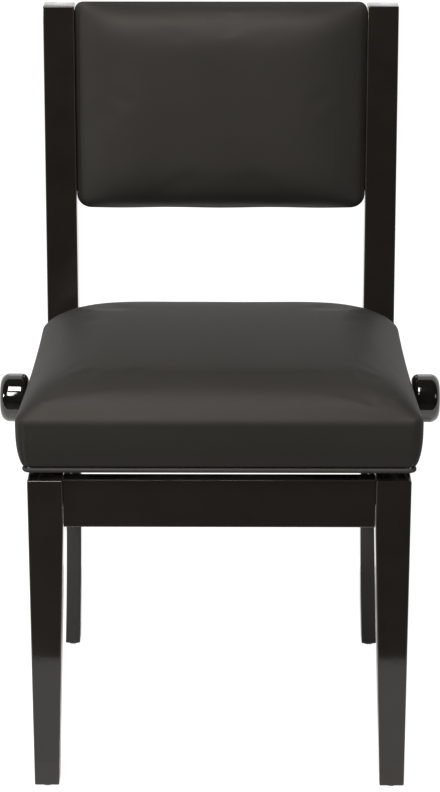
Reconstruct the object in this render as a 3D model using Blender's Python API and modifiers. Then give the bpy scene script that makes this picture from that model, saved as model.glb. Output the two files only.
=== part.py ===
"""Height-adjustable piano chair: a black lacquered frame, an upholstered seat box that a
screw-driven scissor lift raises and lowers, and an upholstered back pad between two posts.

Metres, +Z up, the sitter faces -Y. The origin lies on the floor under the middle of the
overall box. The seat is drawn near its lowest height.
"""

import math

import bmesh
import bpy
from mathutils import Vector

# Gap that touching pieces keep, and the roomier gaps of the running fits
FIT = 0.0003
PIN_CLEARANCE = 0.0003
LINK_CLEARANCE = 0.0013
TENON_CLEARANCE = 0.0004

# Wooden frame
FRAME_WIDTH = 0.435
FRAME_DEPTH = 0.372
LEG_TOP = 0.389
LEG_WIDTH = 0.040
LEG_DEPTH = 0.036
LEG_FOOT_WIDTH = 0.029
LEG_FOOT_DEPTH = 0.029
APRON_HEIGHT = 0.058
APRON_THICKNESS = 0.020
APRON_SETBACK = 0.004
TENON_LENGTH = 0.011
TENON_THICKNESS = 0.008
TENON_HEIGHT = 0.036
WOOD_EDGE = 0.0016

# Rear posts: one piece from the floor to the top of the back
POST_TOP = 0.851
POST_WIDTH = 0.0388
POST_DEPTH = 0.036
POST_TOP_WIDTH = 0.0378
POST_TOP_DEPTH = 0.026
POST_LEAN = 0.030
LEAN_START = 0.420
REAR_FOOT_WIDTH = 0.019
REAR_FOOT_DEPTH = 0.028
REAR_FOOT_RAKE = 0.024
REAR_FOOT_SPLAY = 0.0072
REAR_WAIST = 0.165
POST_BELOW_STEPS = 8
POST_ABOVE_STEPS = 3

# Glides, corner blocks and the cleats that carry the lift
GLIDE_HEIGHT = 0.004
GLIDE_RADIUS = 0.0075
GLIDE_STEM_RADIUS = 0.0025
GLIDE_STEM_LENGTH = 0.012
BLOCK_REACH = 0.036
BLOCK_NOSE = 0.008
BLOCK_HEIGHT = 0.024
BLOCK_DROP = 0.018
CLEAT_WIDTH = 0.020
CLEAT_HEIGHT = 0.016
CLEAT_END = 0.006
CLEAT_GAP = 0.0082

# Seat box and cushion
SEAT_GAP = 0.012
SEAT_OVERHANG = 0.012
SEAT_POST_GAP = 0.007
SEAT_SIDE_OVERHANG = 0.0125
SEAT_TAPER = 0.0096
SEAT_WAIST = 0.0032
SEAT_CORNER = 0.013
SEAT_CORNER_LEAST = 0.006
SEAT_DRAW_IN = 0.008
DRAW_POWER = 3.3
COVER_THICKNESS = 0.0054
PIPING_RADIUS = 0.0023
PIPING_PROUD = 0.0015
BOX_HEIGHT = 0.0355
BOX_THICKNESS = 0.018
BOARD_THICKNESS = 0.012
CUSHION_EDGE = 0.0171
CUSHION_CROWN = 0.037
CUSHION_ROLL = 0.014
CROWN_ACROSS = 6
CROWN_ALONG = 9
CUSHION_ROLL_END = 35
CORNER_STEPS = 5
SIDE_STEPS = 6

# Scissor lift
ARM_HEIGHT = 0.014
ARM_THICKNESS = 0.003
ARM_GAP = 0.0006
PIVOT_MARGIN = 0.044
TRUNNION_MARGIN = 0.016
LOWER_PIVOT_DROP = 0.009
STRIP_WIDTH = 0.018
STRIP_THICKNESS = 0.003
LUG_THICKNESS = 0.003
LUG_WIDTH = 0.016
LUG_FOOT = 0.012
LUG_MARGIN = 0.007
PIN_RADIUS = 0.003
PIN_SEGMENTS = 20

# Spindle, knobs and trunnion
SPINDLE_RISE = 0.0255
SPINDLE_RADIUS = 0.0045
BUSH_RADIUS = 0.008
BUSH_FLANGE_RADIUS = 0.0105
BUSH_FLANGE = 0.002
COLLAR_RADIUS = 0.009
COLLAR_WIDTH = 0.010
KNOB_RADIUS = 0.02875
KNOB_WIDTH = 0.0325
KNOB_GAP = 0.0055
KNOB_ROUND = 0.011
KNOB_BACK_ROUND = 0.008
KNOB_HUB_RADIUS = 0.011
KNOB_HUB_LENGTH = 0.0025
KNOB_BORE_DEPTH = 0.018
TRUNNION_SIZE = 0.017
TRUNNION_END = 0.004
ROUND_STEPS = 32

# Backrest
BACK_HEIGHT = 0.2556
BACK_ABOVE_POST = 0.0042
BACK_BOARD_THICKNESS = 0.009
BACK_BOARD_INSET = 0.006
BACK_PAD_EDGE = 0.010
BACK_PAD_CROWN = 0.024
BACK_CROWN_POWER = 6
BACK_PAD_CORNER = 0.0146
BACK_PAD_ROLL = 0.008
BACK_ROLL_END = 55
BACK_COVER_THICKNESS = 0.004
BACK_COVER_EDGE = 0.0015
BACK_SETBACK = 0.011
DOWEL_RADIUS = 0.004
DOWEL_LENGTH = 0.030
DOWEL_SPACING = 0.150

# Places worked out from the sizes above; y is first counted from the front legs' front face
POST_TOP_BACK = FRAME_DEPTH + POST_LEAN + POST_TOP_DEPTH
FOOT_BACK = FRAME_DEPTH + REAR_FOOT_RAKE + REAR_FOOT_DEPTH
Y_FRONT = -(max(POST_TOP_BACK, FOOT_BACK) - SEAT_OVERHANG) / 2
Y_POST = Y_FRONT + FRAME_DEPTH
HALF_WIDTH = FRAME_WIDTH / 2
APRON_BOTTOM = LEG_TOP - APRON_HEIGHT
APRON_MIDDLE = LEG_TOP - APRON_HEIGHT / 2
SIDE_OUTER = HALF_WIDTH - APRON_SETBACK
SIDE_INNER = SIDE_OUTER - APRON_THICKNESS
POST_INNER = HALF_WIDTH - POST_WIDTH
FRONT_APRON_BACK = Y_FRONT + APRON_SETBACK + APRON_THICKNESS
FOOT_Z = GLIDE_HEIGHT + FIT

SEAT_BOTTOM = LEG_TOP + SEAT_GAP
SEAT_Y_FRONT = Y_FRONT - SEAT_OVERHANG
SEAT_Y_REAR = Y_POST - SEAT_POST_GAP
SEAT_Y = (SEAT_Y_FRONT + SEAT_Y_REAR) / 2
SEAT_HALF_DEPTH = (SEAT_Y_REAR - SEAT_Y_FRONT) / 2
SEAT_FRONT_HALF = HALF_WIDTH + SEAT_SIDE_OVERHANG
SEAT_REAR_HALF = SEAT_FRONT_HALF - SEAT_TAPER
COVER_BOTTOM = SEAT_BOTTOM + 2 * PIPING_RADIUS + FIT
BOX_BOTTOM = SEAT_BOTTOM + PIPING_RADIUS / 2
BOX_TOP = BOX_BOTTOM + BOX_HEIGHT
BOARD_BOTTOM = BOX_TOP + FIT
BOARD_TOP = BOARD_BOTTOM + BOARD_THICKNESS
BOX_INSET = SEAT_DRAW_IN + COVER_THICKNESS
BOX_HALF_X = SEAT_REAR_HALF - BOX_INSET
BOX_HALF_Y = SEAT_HALF_DEPTH - BOX_INSET
RAIL_INNER = BOX_HALF_X - BOX_THICKNESS
CUSHION_TOP = BOARD_TOP + CUSHION_EDGE

SPINDLE_Z = SEAT_BOTTOM + SPINDLE_RISE
LOWER_PIVOT_Z = LEG_TOP - LOWER_PIVOT_DROP
FLANGE_INNER = RAIL_INNER - FIT - BUSH_FLANGE
COLLAR_X = FLANGE_INNER - FIT - COLLAR_WIDTH / 2
PIVOT_X = PIVOT_MARGIN - RAIL_INNER
SLIDE_X = COLLAR_X - COLLAR_WIDTH / 2 - TRUNNION_MARGIN - TRUNNION_SIZE / 2
ARM_ANGLE = math.atan2(SPINDLE_Z - LOWER_PIVOT_Z, SLIDE_X - PIVOT_X)
ARM_LENGTH = (SLIDE_X - PIVOT_X) / math.cos(ARM_ANGLE)
FRONT_BLOCK_END = Y_FRONT + LEG_DEPTH + FIT + BLOCK_REACH
CLEAT_HALF = SEAT_Y - FRONT_BLOCK_END - CLEAT_GAP
LIFT_SPREAD = CLEAT_HALF - CLEAT_END - STRIP_WIDTH / 2
STRIP_TOP = LOWER_PIVOT_Z - PIN_RADIUS - LINK_CLEARANCE
STRIP_INNER = LIFT_SPREAD - STRIP_WIDTH / 2
ARM_A_Y = STRIP_INNER - ARM_GAP / 2 - ARM_THICKNESS / 2
ARM_B_Y = ARM_A_Y - ARM_THICKNESS - ARM_GAP
UPPER_LUG_Y = ARM_B_Y - ARM_THICKNESS / 2 - FIT - LUG_THICKNESS / 2
LOWER_LUG_Y = STRIP_INNER + FIT + LUG_THICKNESS / 2
SEAT_MIDDLE_HALF = SEAT_FRONT_HALF - SEAT_TAPER / 2 - SEAT_WAIST
KNOB_INNER = SEAT_MIDDLE_HALF + KNOB_GAP
KNOB_OUTER = KNOB_INNER + KNOB_WIDTH

BACK_TOP = POST_TOP + BACK_ABOVE_POST
BACK_MIDDLE = BACK_TOP - BACK_HEIGHT / 2
LEAN_SLOPE = POST_LEAN / (POST_TOP - LEAN_START)
BACK_ANGLE = math.atan(LEAN_SLOPE)
BACK_POST_FACE = Y_POST + LEAN_SLOPE * (BACK_MIDDLE - LEAN_START)
BACK_Y = BACK_POST_FACE + BACK_SETBACK
BACK_HALF_X = POST_INNER - 2 * FIT

SIDES = (("left", -1), ("right", 1))
ENDS = (("front", -1), ("rear", 1))


def new_collection(name):
    collection = bpy.data.collections.new(name)
    bpy.context.scene.collection.children.link(collection)
    return collection


for old in list(bpy.data.objects):
    bpy.data.objects.remove(old)
CHAIR = new_collection("piano_chair")
CUTTERS = new_collection("cutters")


def finish(name, colour, roughness, metallic=0.0):
    """One plain Principled material."""
    material = bpy.data.materials.new(name)
    material.use_nodes = True
    shader = material.node_tree.nodes["Principled BSDF"]
    shader.inputs["Base Color"].default_value = (*colour, 1.0)
    shader.inputs["Roughness"].default_value = roughness
    shader.inputs["Metallic"].default_value = metallic
    return material


LACQUER = finish("black_polyester_lacquer", (0.012, 0.010, 0.009), 0.08)
LEATHERETTE = finish("black_leatherette", (0.040, 0.039, 0.036), 0.50)
PIPING = finish("leatherette_piping", (0.070, 0.070, 0.066), 0.45)
PLYWOOD = finish("stained_plywood", (0.020, 0.016, 0.013), 0.70)
BEECH = finish("stained_beech", (0.017, 0.013, 0.010), 0.65)
ZINC = finish("zinc_plated_steel", (0.55, 0.55, 0.53), 0.32, 1.0)
STEEL = finish("bright_steel", (0.48, 0.48, 0.47), 0.25, 1.0)
BRONZE = finish("sintered_bronze", (0.45, 0.28, 0.12), 0.45, 1.0)
BAKELITE = finish("glossy_black_knob", (0.008, 0.008, 0.007), 0.06)
NYLON = finish("black_nylon", (0.02, 0.02, 0.02), 0.55)


def add_object(name, mesh, material, where=CHAIR):
    obj = bpy.data.objects.new(name, mesh)
    where.objects.link(obj)
    if material is not None:
        mesh.materials.append(material)
    if where is CUTTERS:
        obj.hide_render = True
        obj.display_type = "WIRE"
    return obj


def mesh_from(name, bm):
    mesh = bpy.data.meshes.new(name)
    bm.to_mesh(mesh)
    bm.free()
    return mesh


def place(obj, at, parent=None, turn=(0.0, 0.0, 0.0)):
    """Put an object at a place in its parent's frame, or in the world without one."""
    obj.location = at
    obj.rotation_euler = turn
    obj.parent = parent
    return obj


def pivot(name, at, turn=(0.0, 0.0, 0.0)):
    """An empty on a joint's axis, which the moving pieces hang on."""
    empty = bpy.data.objects.new(name, None)
    CHAIR.objects.link(empty)
    return place(empty, at, None, turn)


def round_edges(obj, width, segments=2):
    bevel = obj.modifiers.new("rounded_edges", "BEVEL")
    bevel.width = width
    bevel.segments = segments
    bevel.limit_method = "ANGLE"


def smooth(mesh, degrees=35):
    mesh.shade_smooth()
    mesh.set_sharp_from_angle(angle=math.radians(degrees))


def block(name, size, material, edge=0.0, where=CHAIR):
    bm = bmesh.new()
    bmesh.ops.create_cube(bm, size=1.0)
    bmesh.ops.scale(bm, vec=Vector(size), verts=bm.verts)
    obj = add_object(name, mesh_from(name, bm), material, where)
    if edge:
        round_edges(obj, edge)
    return obj


def rod(name, radius, length, material, segments=PIN_SEGMENTS, where=CHAIR):
    """A plain cylinder along its own Z."""
    bm = bmesh.new()
    bmesh.ops.create_cone(bm, cap_ends=True, segments=segments, radius1=radius, radius2=radius, depth=length)
    mesh = mesh_from(name, bm)
    smooth(mesh)
    return add_object(name, mesh, material, where)


def cut(obj, cutter, operation="DIFFERENCE"):
    boolean = obj.modifiers.new(cutter.name, "BOOLEAN")
    boolean.operation = operation
    boolean.solver = "EXACT"
    boolean.object = cutter


def turned(name, profile, material, closed=False):
    """A profile of (radius, height) points spun about Z; closed profiles make rings."""
    bm = bmesh.new()
    verts = [bm.verts.new((radius, 0.0, height)) for radius, height in profile]
    for first, second in zip(verts, verts[1:]):
        bm.edges.new((first, second))
    if closed:
        bm.edges.new((verts[-1], verts[0]))
    mesh = mesh_from(name, bm)
    obj = add_object(name, mesh, material)
    spin = obj.modifiers.new("turned", "SCREW")
    spin.axis = "Z"
    spin.angle = math.tau
    spin.steps = ROUND_STEPS
    spin.render_steps = ROUND_STEPS
    spin.use_merge_vertices = True
    spin.merge_threshold = 0.00001
    spin.use_smooth_shade = True
    return obj


def ring(name, inner, outer, width, material):
    """A plain tube along its own Z, centred on its origin."""
    top = width / 2
    profile = [(inner, top), (outer, top), (outer, -top), (inner, -top)]
    return turned(name, profile, material, closed=True)


def arc(centre, radius, start, end, steps):
    """Points on a circular arc, angles in degrees."""
    angles = [math.radians(start + (end - start) * step / steps) for step in range(steps + 1)]
    return [(centre[0] + radius * math.cos(a), centre[1] + radius * math.sin(a)) for a in angles]


def circle(centre, radius):
    return arc(centre, radius, 0, 360, PIN_SEGMENTS)[:-1]


def plate(name, outlines, thickness, material):
    """A flat outline, holes included, drawn in its own XY plane and given a thickness in Z."""
    curve = bpy.data.curves.new(name, "CURVE")
    curve.dimensions = "2D"
    curve.fill_mode = "BOTH"
    curve.extrude = thickness / 2
    for outline in outlines:
        spline = curve.splines.new("POLY")
        spline.points.add(len(outline) - 1)
        spline.use_cyclic_u = True
        for point, (u, v) in zip(spline.points, outline):
            point.co = (u, v, 0.0, 1.0)
    drawn = bpy.data.objects.new(name + "_outline", curve)
    CHAIR.objects.link(drawn)
    graph = bpy.context.evaluated_depsgraph_get()
    mesh = bpy.data.meshes.new_from_object(drawn.evaluated_get(graph))
    bpy.data.objects.remove(drawn)
    bm = bmesh.new()
    bm.from_mesh(mesh)
    bmesh.ops.remove_doubles(bm, verts=bm.verts, dist=0.00001)
    bm.to_mesh(mesh)
    bm.free()
    return add_object(name, mesh, material)


def loft(name, rings, material, crown=None):
    """Skin a stack of rings with equal point counts; crown closes the last ring to one point."""
    bm = bmesh.new()
    rows = [[bm.verts.new(point) for point in points] for points in rings]
    count = len(rows[0])
    for low, high in zip(rows, rows[1:]):
        for here in range(count):
            after = (here + 1) % count
            bm.faces.new((low[here], low[after], high[after], high[here]))
    bm.faces.new(list(reversed(rows[0])))
    if crown is None:
        bm.faces.new(rows[-1])
    else:
        tip = bm.verts.new(crown)
        for here in range(count):
            bm.faces.new((rows[-1][here], rows[-1][(here + 1) % count], tip))
    bmesh.ops.recalc_face_normals(bm, faces=bm.faces)
    mesh = mesh_from(name, bm)
    smooth(mesh)
    return add_object(name, mesh, material)


def rectangle(x_low, x_high, y_low, y_high, z):
    return [(x_low, y_low, z), (x_high, y_low, z), (x_high, y_high, z), (x_low, y_high, z)]


def blend(start, end, share):
    return start + (end - start) * share


def ease(share):
    """Smooth step from 0 to 1."""
    return share * share * (3 - 2 * share)


def rounded_outline(half_x, half_y, radius):
    """Points round a rectangle with round corners, counter-clockwise, with points along its sides."""
    points = []
    corners = ((1, -1, -90), (1, 1, 0), (-1, 1, 90), (-1, -1, 180))
    for side_x, side_y, start in corners:
        centre = (side_x * (half_x - radius), side_y * (half_y - radius))
        points += arc(centre, radius, start, start + 90, CORNER_STEPS)
        turn_x, turn_y = (-side_y, 0) if side_x * side_y > 0 else (0, side_x)
        length = 2 * (half_x - radius) if turn_x else 2 * (half_y - radius)
        last = points[-1]
        for step in range(1, SIDE_STEPS):
            along = length * step / SIDE_STEPS
            points.append((last[0] + turn_x * along, last[1] + turn_y * along))
    return points


# Front legs: square above the apron's lower edge, then tapered on the two inner sides
def front_leg(name, side):
    outer = side * HALF_WIDTH
    rings = []
    for z, width, depth in (
        (FOOT_Z, LEG_FOOT_WIDTH, LEG_FOOT_DEPTH),
        (APRON_BOTTOM, LEG_WIDTH, LEG_DEPTH),
        (LEG_TOP, LEG_WIDTH, LEG_DEPTH),
    ):
        inner = outer - side * width
        rings.append(rectangle(min(outer, inner), max(outer, inner), Y_FRONT, Y_FRONT + depth, z))
    leg = loft(name, rings, LACQUER)
    round_edges(leg, WOOD_EDGE)
    return leg


# Rear posts: leg, seat joint and back upright in one piece, slimmer and raked below the rail
def post_section(z):
    """Width, depth, inner face and front face of a rear post at one height."""
    if z < APRON_BOTTOM:
        drop = (APRON_BOTTOM - z) / (APRON_BOTTOM - FOOT_Z)
        narrowing = ease(min(1.0, (APRON_BOTTOM - z) / (APRON_BOTTOM - REAR_WAIST)))
        width = blend(POST_WIDTH, REAR_FOOT_WIDTH, narrowing)
        depth = blend(POST_DEPTH, REAR_FOOT_DEPTH, drop)
        inner = POST_INNER + REAR_FOOT_SPLAY * drop * drop
        return width, depth, inner, Y_POST + REAR_FOOT_RAKE * drop * drop
    if z <= LEAN_START:
        return POST_WIDTH, POST_DEPTH, POST_INNER, Y_POST
    rise = (z - LEAN_START) / (POST_TOP - LEAN_START)
    width = blend(POST_WIDTH, POST_TOP_WIDTH, rise)
    depth = blend(POST_DEPTH, POST_TOP_DEPTH, rise)
    return width, depth, POST_INNER, Y_POST + POST_LEAN * rise


def rear_post(name, side):
    below = [blend(FOOT_Z, APRON_BOTTOM, step / POST_BELOW_STEPS) for step in range(POST_BELOW_STEPS)]
    above = [blend(LEAN_START, POST_TOP, step / POST_ABOVE_STEPS) for step in range(POST_ABOVE_STEPS + 1)]
    rings = []
    for z in [*below, APRON_BOTTOM, *above]:
        width, depth, inner, front = post_section(z)
        inner_x = side * inner
        outer_x = side * (inner + width)
        rings.append(rectangle(min(inner_x, outer_x), max(inner_x, outer_x), front, front + depth, z))
    post = loft(name, rings, LACQUER)
    round_edges(post, WOOD_EDGE)
    return post


front_legs = {word: front_leg(f"front_leg_{word}", side) for word, side in SIDES}
rear_posts = {word: rear_post(f"rear_post_{word}", side) for word, side in SIDES}


# Aprons: boards with a tenon at each end, let into mortises in the legs and posts
def apron(name, length, middle, turn, joined):
    """A board of the given length between two uprights, and the mortises that its tenons need."""
    board = block(name, (length - 2 * FIT, APRON_THICKNESS, APRON_HEIGHT), LACQUER, WOOD_EDGE)
    place(board, middle, None, (0.0, 0.0, turn))
    core_size = (length + 2 * TENON_LENGTH, TENON_THICKNESS, TENON_HEIGHT)
    core = block(name + "_tenons", core_size, None, 0.0, CUTTERS)
    place(core, middle, None, (0.0, 0.0, turn))
    cut(board, core, "UNION")
    room = 2 * TENON_CLEARANCE
    mortise_size = (core_size[0] + room, core_size[1] + room, core_size[2] + room)
    mortises = block(name + "_mortises", mortise_size, None, 0.0, CUTTERS)
    place(mortises, middle, None, (0.0, 0.0, turn))
    for upright in joined:
        cut(upright, mortises)
    return board


apron(
    "front_apron",
    FRAME_WIDTH - 2 * LEG_WIDTH,
    (0.0, FRONT_APRON_BACK - APRON_THICKNESS / 2, APRON_MIDDLE),
    0.0,
    front_legs.values(),
)
apron(
    "rear_apron",
    2 * POST_INNER,
    (0.0, Y_POST + APRON_THICKNESS / 2, APRON_MIDDLE),
    0.0,
    rear_posts.values(),
)
for word, side in SIDES:
    apron(
        f"side_apron_{word}",
        FRAME_DEPTH - LEG_DEPTH,
        (side * (SIDE_OUTER - APRON_THICKNESS / 2), (Y_FRONT + LEG_DEPTH + Y_POST) / 2, APRON_MIDDLE),
        math.pi / 2,
        (front_legs[word], rear_posts[word]),
    )


# Corner blocks: glued into the corners behind the legs, notched round each front leg
def corner_block(name, side, outline):
    shape = plate(name, [[(side * x, y) for x, y in outline]], BLOCK_HEIGHT, BEECH)
    place(shape, (0.0, 0.0, LEG_TOP - BLOCK_DROP - BLOCK_HEIGHT / 2))


wall = SIDE_INNER - FIT
notch_x = HALF_WIDTH - LEG_WIDTH - FIT
notch_y = Y_FRONT + LEG_DEPTH + FIT
front_wall = FRONT_APRON_BACK + FIT
rear_wall = Y_POST - FIT
front_outline = [
    (notch_x - BLOCK_REACH, front_wall),
    (notch_x, front_wall),
    (notch_x, notch_y),
    (wall, notch_y),
    (wall, FRONT_BLOCK_END),
    (wall - BLOCK_NOSE, FRONT_BLOCK_END),
    (notch_x - BLOCK_REACH, front_wall + BLOCK_NOSE),
]
rear_outline = [
    (wall - BLOCK_REACH, rear_wall),
    (wall - BLOCK_REACH, rear_wall - BLOCK_NOSE),
    (wall - BLOCK_NOSE, rear_wall - BLOCK_REACH),
    (wall, rear_wall - BLOCK_REACH),
    (wall, rear_wall),
]
for word, side in SIDES:
    corner_block(f"corner_block_front_{word}", side, front_outline)
    corner_block(f"corner_block_rear_{word}", side, rear_outline)


# Foot glides: nylon discs, each with a stem pressed into the leg's end
def glide(name, x, y, upright):
    profile = [
        (0.0, FOOT_Z + GLIDE_STEM_LENGTH),
        (GLIDE_STEM_RADIUS, FOOT_Z + GLIDE_STEM_LENGTH),
        (GLIDE_STEM_RADIUS, GLIDE_HEIGHT),
        (GLIDE_RADIUS, GLIDE_HEIGHT),
        (GLIDE_RADIUS, GLIDE_HEIGHT / 3),
        (GLIDE_RADIUS - GLIDE_HEIGHT / 3, 0.0),
        (0.0, 0.0),
    ]
    place(turned(name, profile, NYLON), (x, y, 0.0))
    hole_length = 2 * GLIDE_STEM_LENGTH + 2 * PIN_CLEARANCE
    hole = rod(name + "_hole", GLIDE_STEM_RADIUS + PIN_CLEARANCE, hole_length, None, PIN_SEGMENTS, CUTTERS)
    place(hole, (x, y, FOOT_Z))
    cut(upright, hole)


foot_width, foot_depth, foot_inner, foot_front = post_section(FOOT_Z)
for word, side in SIDES:
    front_x = side * (HALF_WIDTH - LEG_FOOT_WIDTH / 2)
    glide(f"glide_front_{word}", front_x, Y_FRONT + LEG_FOOT_DEPTH / 2, front_legs[word])
    rear_x = side * (foot_inner + foot_width / 2)
    glide(f"glide_rear_{word}", rear_x, foot_front + foot_depth / 2, rear_posts[word])


# Lift base: two flat strips across the frame, resting on cleats along the side aprons
cleat_top = STRIP_TOP - STRIP_THICKNESS - FIT
for word, side in SIDES:
    cleat = block(f"lift_cleat_{word}", (CLEAT_WIDTH, 2 * CLEAT_HALF, CLEAT_HEIGHT), BEECH, WOOD_EDGE)
    place(cleat, (side * (wall - CLEAT_WIDTH / 2), SEAT_Y, cleat_top - CLEAT_HEIGHT / 2))
for word, side in ENDS:
    strip = block(f"lift_strip_{word}", (2 * wall, STRIP_WIDTH, STRIP_THICKNESS), ZINC)
    place(strip, (0.0, SEAT_Y + side * LIFT_SPREAD, STRIP_TOP - STRIP_THICKNESS / 2))


# Pivot brackets: bent steel angles whose upright lug carries a pin
def bracket(name, outward, reach, parent, at):
    """An angle bracket: a lug with a pin hole at its origin and a foot flange at height reach.

    The section is drawn in YZ and given its width along X; outward is the side, along Y,
    on which the foot lies.
    """
    up = 1 if reach > 0 else -1
    half = LUG_THICKNESS / 2
    section = [
        (-outward * half, -up * LUG_MARGIN),
        (outward * half, -up * LUG_MARGIN),
        (outward * half, reach - up * LUG_THICKNESS),
        (outward * (half + LUG_FOOT), reach - up * LUG_THICKNESS),
        (outward * (half + LUG_FOOT), reach),
        (-outward * half, reach),
    ]
    angle = plate(name, [section], LUG_WIDTH, ZINC)
    place(angle, at, parent, (math.pi / 2, 0.0, math.pi / 2))
    hole = rod(name + "_hole", PIN_RADIUS + PIN_CLEARANCE, 2 * LUG_THICKNESS, None, PIN_SEGMENTS, CUTTERS)
    place(hole, at, parent, (math.pi / 2, 0.0, 0.0))
    cut(angle, hole)


def pin(name, y_low, y_high, x, z, parent):
    """A round pin along Y between two places."""
    piece = rod(name, PIN_RADIUS, y_high - y_low, STEEL)
    return place(piece, (x, (y_low + y_high) / 2, z), parent, (math.pi / 2, 0.0, 0.0))


lower_reach = STRIP_TOP + FIT - LOWER_PIVOT_Z
pin_outer = LOWER_LUG_Y + LUG_THICKNESS / 2 + ARM_GAP
pin_inner = ARM_A_Y - ARM_THICKNESS / 2 - ARM_GAP / 3
for word, side in ENDS:
    lug_y = SEAT_Y + side * LOWER_LUG_Y
    bracket(f"lower_bracket_{word}", side, lower_reach, None, (PIVOT_X, lug_y, LOWER_PIVOT_Z))
    ends = sorted((SEAT_Y + side * pin_inner, SEAT_Y + side * pin_outer))
    pin(f"lower_pivot_pin_{word}", *ends, PIVOT_X, LOWER_PIVOT_Z, None)


# Seat box: four rails under a plywood board; everything on it hangs on one empty
seat = pivot("seat_carriage", (0.0, SEAT_Y, SEAT_BOTTOM))


def on_seat(obj, x, y, z, turn=(0.0, 0.0, 0.0)):
    """Place an object on the seat: y from the middle of the seat, z from the floor."""
    return place(obj, (x, y, z - SEAT_BOTTOM), seat, turn)


box_middle = BOX_BOTTOM + BOX_HEIGHT / 2
for word, side in ENDS:
    rail = block(f"seat_rail_{word}", (2 * BOX_HALF_X, BOX_THICKNESS, BOX_HEIGHT), BEECH, WOOD_EDGE)
    on_seat(rail, 0.0, side * (BOX_HALF_Y - BOX_THICKNESS / 2), box_middle)
side_rail_length = 2 * (BOX_HALF_Y - BOX_THICKNESS - FIT)
for word, side in SIDES:
    rail = block(f"seat_rail_{word}", (BOX_THICKNESS, side_rail_length, BOX_HEIGHT), BEECH, WOOD_EDGE)
    rail_x = side * (BOX_HALF_X - BOX_THICKNESS / 2)
    on_seat(rail, rail_x, 0.0, box_middle)
    hole = rod(f"bush_hole_{word}", BUSH_RADIUS + FIT, 2 * BOX_THICKNESS, None, ROUND_STEPS, CUTTERS)
    on_seat(hole, rail_x, 0.0, SPINDLE_Z, (0.0, math.pi / 2, 0.0))
    cut(rail, hole)
board = block("seat_board", (2 * BOX_HALF_X, 2 * BOX_HALF_Y, BOARD_THICKNESS), PLYWOOD)
on_seat(board, 0.0, 0.0, BOARD_BOTTOM + BOARD_THICKNESS / 2)


def inset_corner(corner, inset, least):
    """Corner radius of an outline drawn in by inset: it shrinks at the edge and opens out on the crown."""
    return max(corner - inset, least) + max(0.0, inset - corner) / 4


def crown_rise(u, v, across, along):
    """Share of a cushion's crown at a plan point, u and v from -1 to 1; high powers flatten it."""
    return (1 - abs(u) ** across) * (1 - abs(v) ** along)


def roll(radius, end, steps):
    """Insets and rises of a cushion's rolled edge, from upright to the angle where its crown begins."""
    angles = [math.radians(end * step / steps) for step in range(1, steps + 1)]
    return [(radius * (1 - math.cos(angle)), radius * math.sin(angle)) for angle in angles]


# Seat cushion: a fitted cap of leatherette over foam, crowned on top and drawn in at the welt
def seat_taper(y):
    """Width of the seat at a depth from its middle, as a share of its front width.

    It narrows to the rear, and its sides are pulled in between the corners.
    """
    rearward = (y + SEAT_HALF_DEPTH) / (2 * SEAT_HALF_DEPTH)
    pulled_in = 1 - (y / SEAT_HALF_DEPTH) ** 2
    return 1 - (SEAT_TAPER * rearward + SEAT_WAIST * pulled_in) / SEAT_FRONT_HALF


def seat_plan(inset):
    """The seat's plan outline drawn in by inset."""
    radius = inset_corner(SEAT_CORNER, inset, SEAT_CORNER_LEAST)
    points = rounded_outline(SEAT_FRONT_HALF - inset, SEAT_HALF_DEPTH - inset, radius)
    return [(x * seat_taper(y), y) for x, y in points]


def level(points, z):
    """Plan points at one height from the floor, in the seat's own frame."""
    return [(x, y, z - SEAT_BOTTOM) for x, y in points]


def seat_cushion():
    rolled = roll(CUSHION_ROLL, CUSHION_ROLL_END, 4)
    top_inset, top_rise = rolled[-1]
    edge = CUSHION_TOP - top_rise
    pocket = rounded_outline(BOX_HALF_X + FIT, BOX_HALF_Y + FIT, FIT)
    rings = [level(pocket, BOARD_TOP + FIT), level(pocket, COVER_BOTTOM)]
    for share in (0.0, 0.1, 0.25, 0.5, 0.75, 1.0):
        drawn_in = SEAT_DRAW_IN * (1 - share) ** DRAW_POWER
        rings.append(level(seat_plan(drawn_in), blend(COVER_BOTTOM, edge, share)))
    for inset, rise in rolled:
        rings.append(level(seat_plan(inset), edge + rise))
    reach = SEAT_HALF_DEPTH - top_inset
    half_x = SEAT_FRONT_HALF - top_inset
    for share in (0.015, 0.04, 0.08, 0.14, 0.22, 0.34, 0.52, 0.75):
        points = []
        for x, y in seat_plan(top_inset + reach * share):
            rise = crown_rise(x / (half_x * seat_taper(y)), y / reach, CROWN_ACROSS, CROWN_ALONG)
            points.append((x, y, CUSHION_TOP + CUSHION_CROWN * rise - SEAT_BOTTOM))
        rings.append(points)
    top = (0.0, 0.0, CUSHION_TOP + CUSHION_CROWN - SEAT_BOTTOM)
    cushion = loft("seat_cushion", rings, LEATHERETTE, top)
    place(cushion, (0.0, 0.0, 0.0), seat)
    for word, side in SIDES:
        hole_x = side * (SEAT_FRONT_HALF + BOX_HALF_X) / 2
        hole_length = 2 * (SEAT_FRONT_HALF - BOX_HALF_X)
        hole = rod(f"cover_hole_{word}", BUSH_RADIUS, hole_length, None, PIN_SEGMENTS, CUTTERS)
        on_seat(hole, hole_x, 0.0, SPINDLE_Z, (0.0, math.pi / 2, 0.0))
        cut(cushion, hole)


seat_cushion()


# Piping: a round welt sewn along the lower edge of the cover
def closed_tube(name, points, radius, material, parent):
    curve = bpy.data.curves.new(name, "CURVE")
    curve.dimensions = "3D"
    curve.bevel_depth = radius
    curve.bevel_resolution = 2
    spline = curve.splines.new("POLY")
    spline.points.add(len(points) - 1)
    spline.use_cyclic_u = True
    for point, place_on_path in zip(spline.points, points):
        point.co = (*place_on_path, 1.0)
    curve.materials.append(material)
    tube = bpy.data.objects.new(name, curve)
    CHAIR.objects.link(tube)
    return place(tube, (0.0, 0.0, 0.0), parent)


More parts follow.
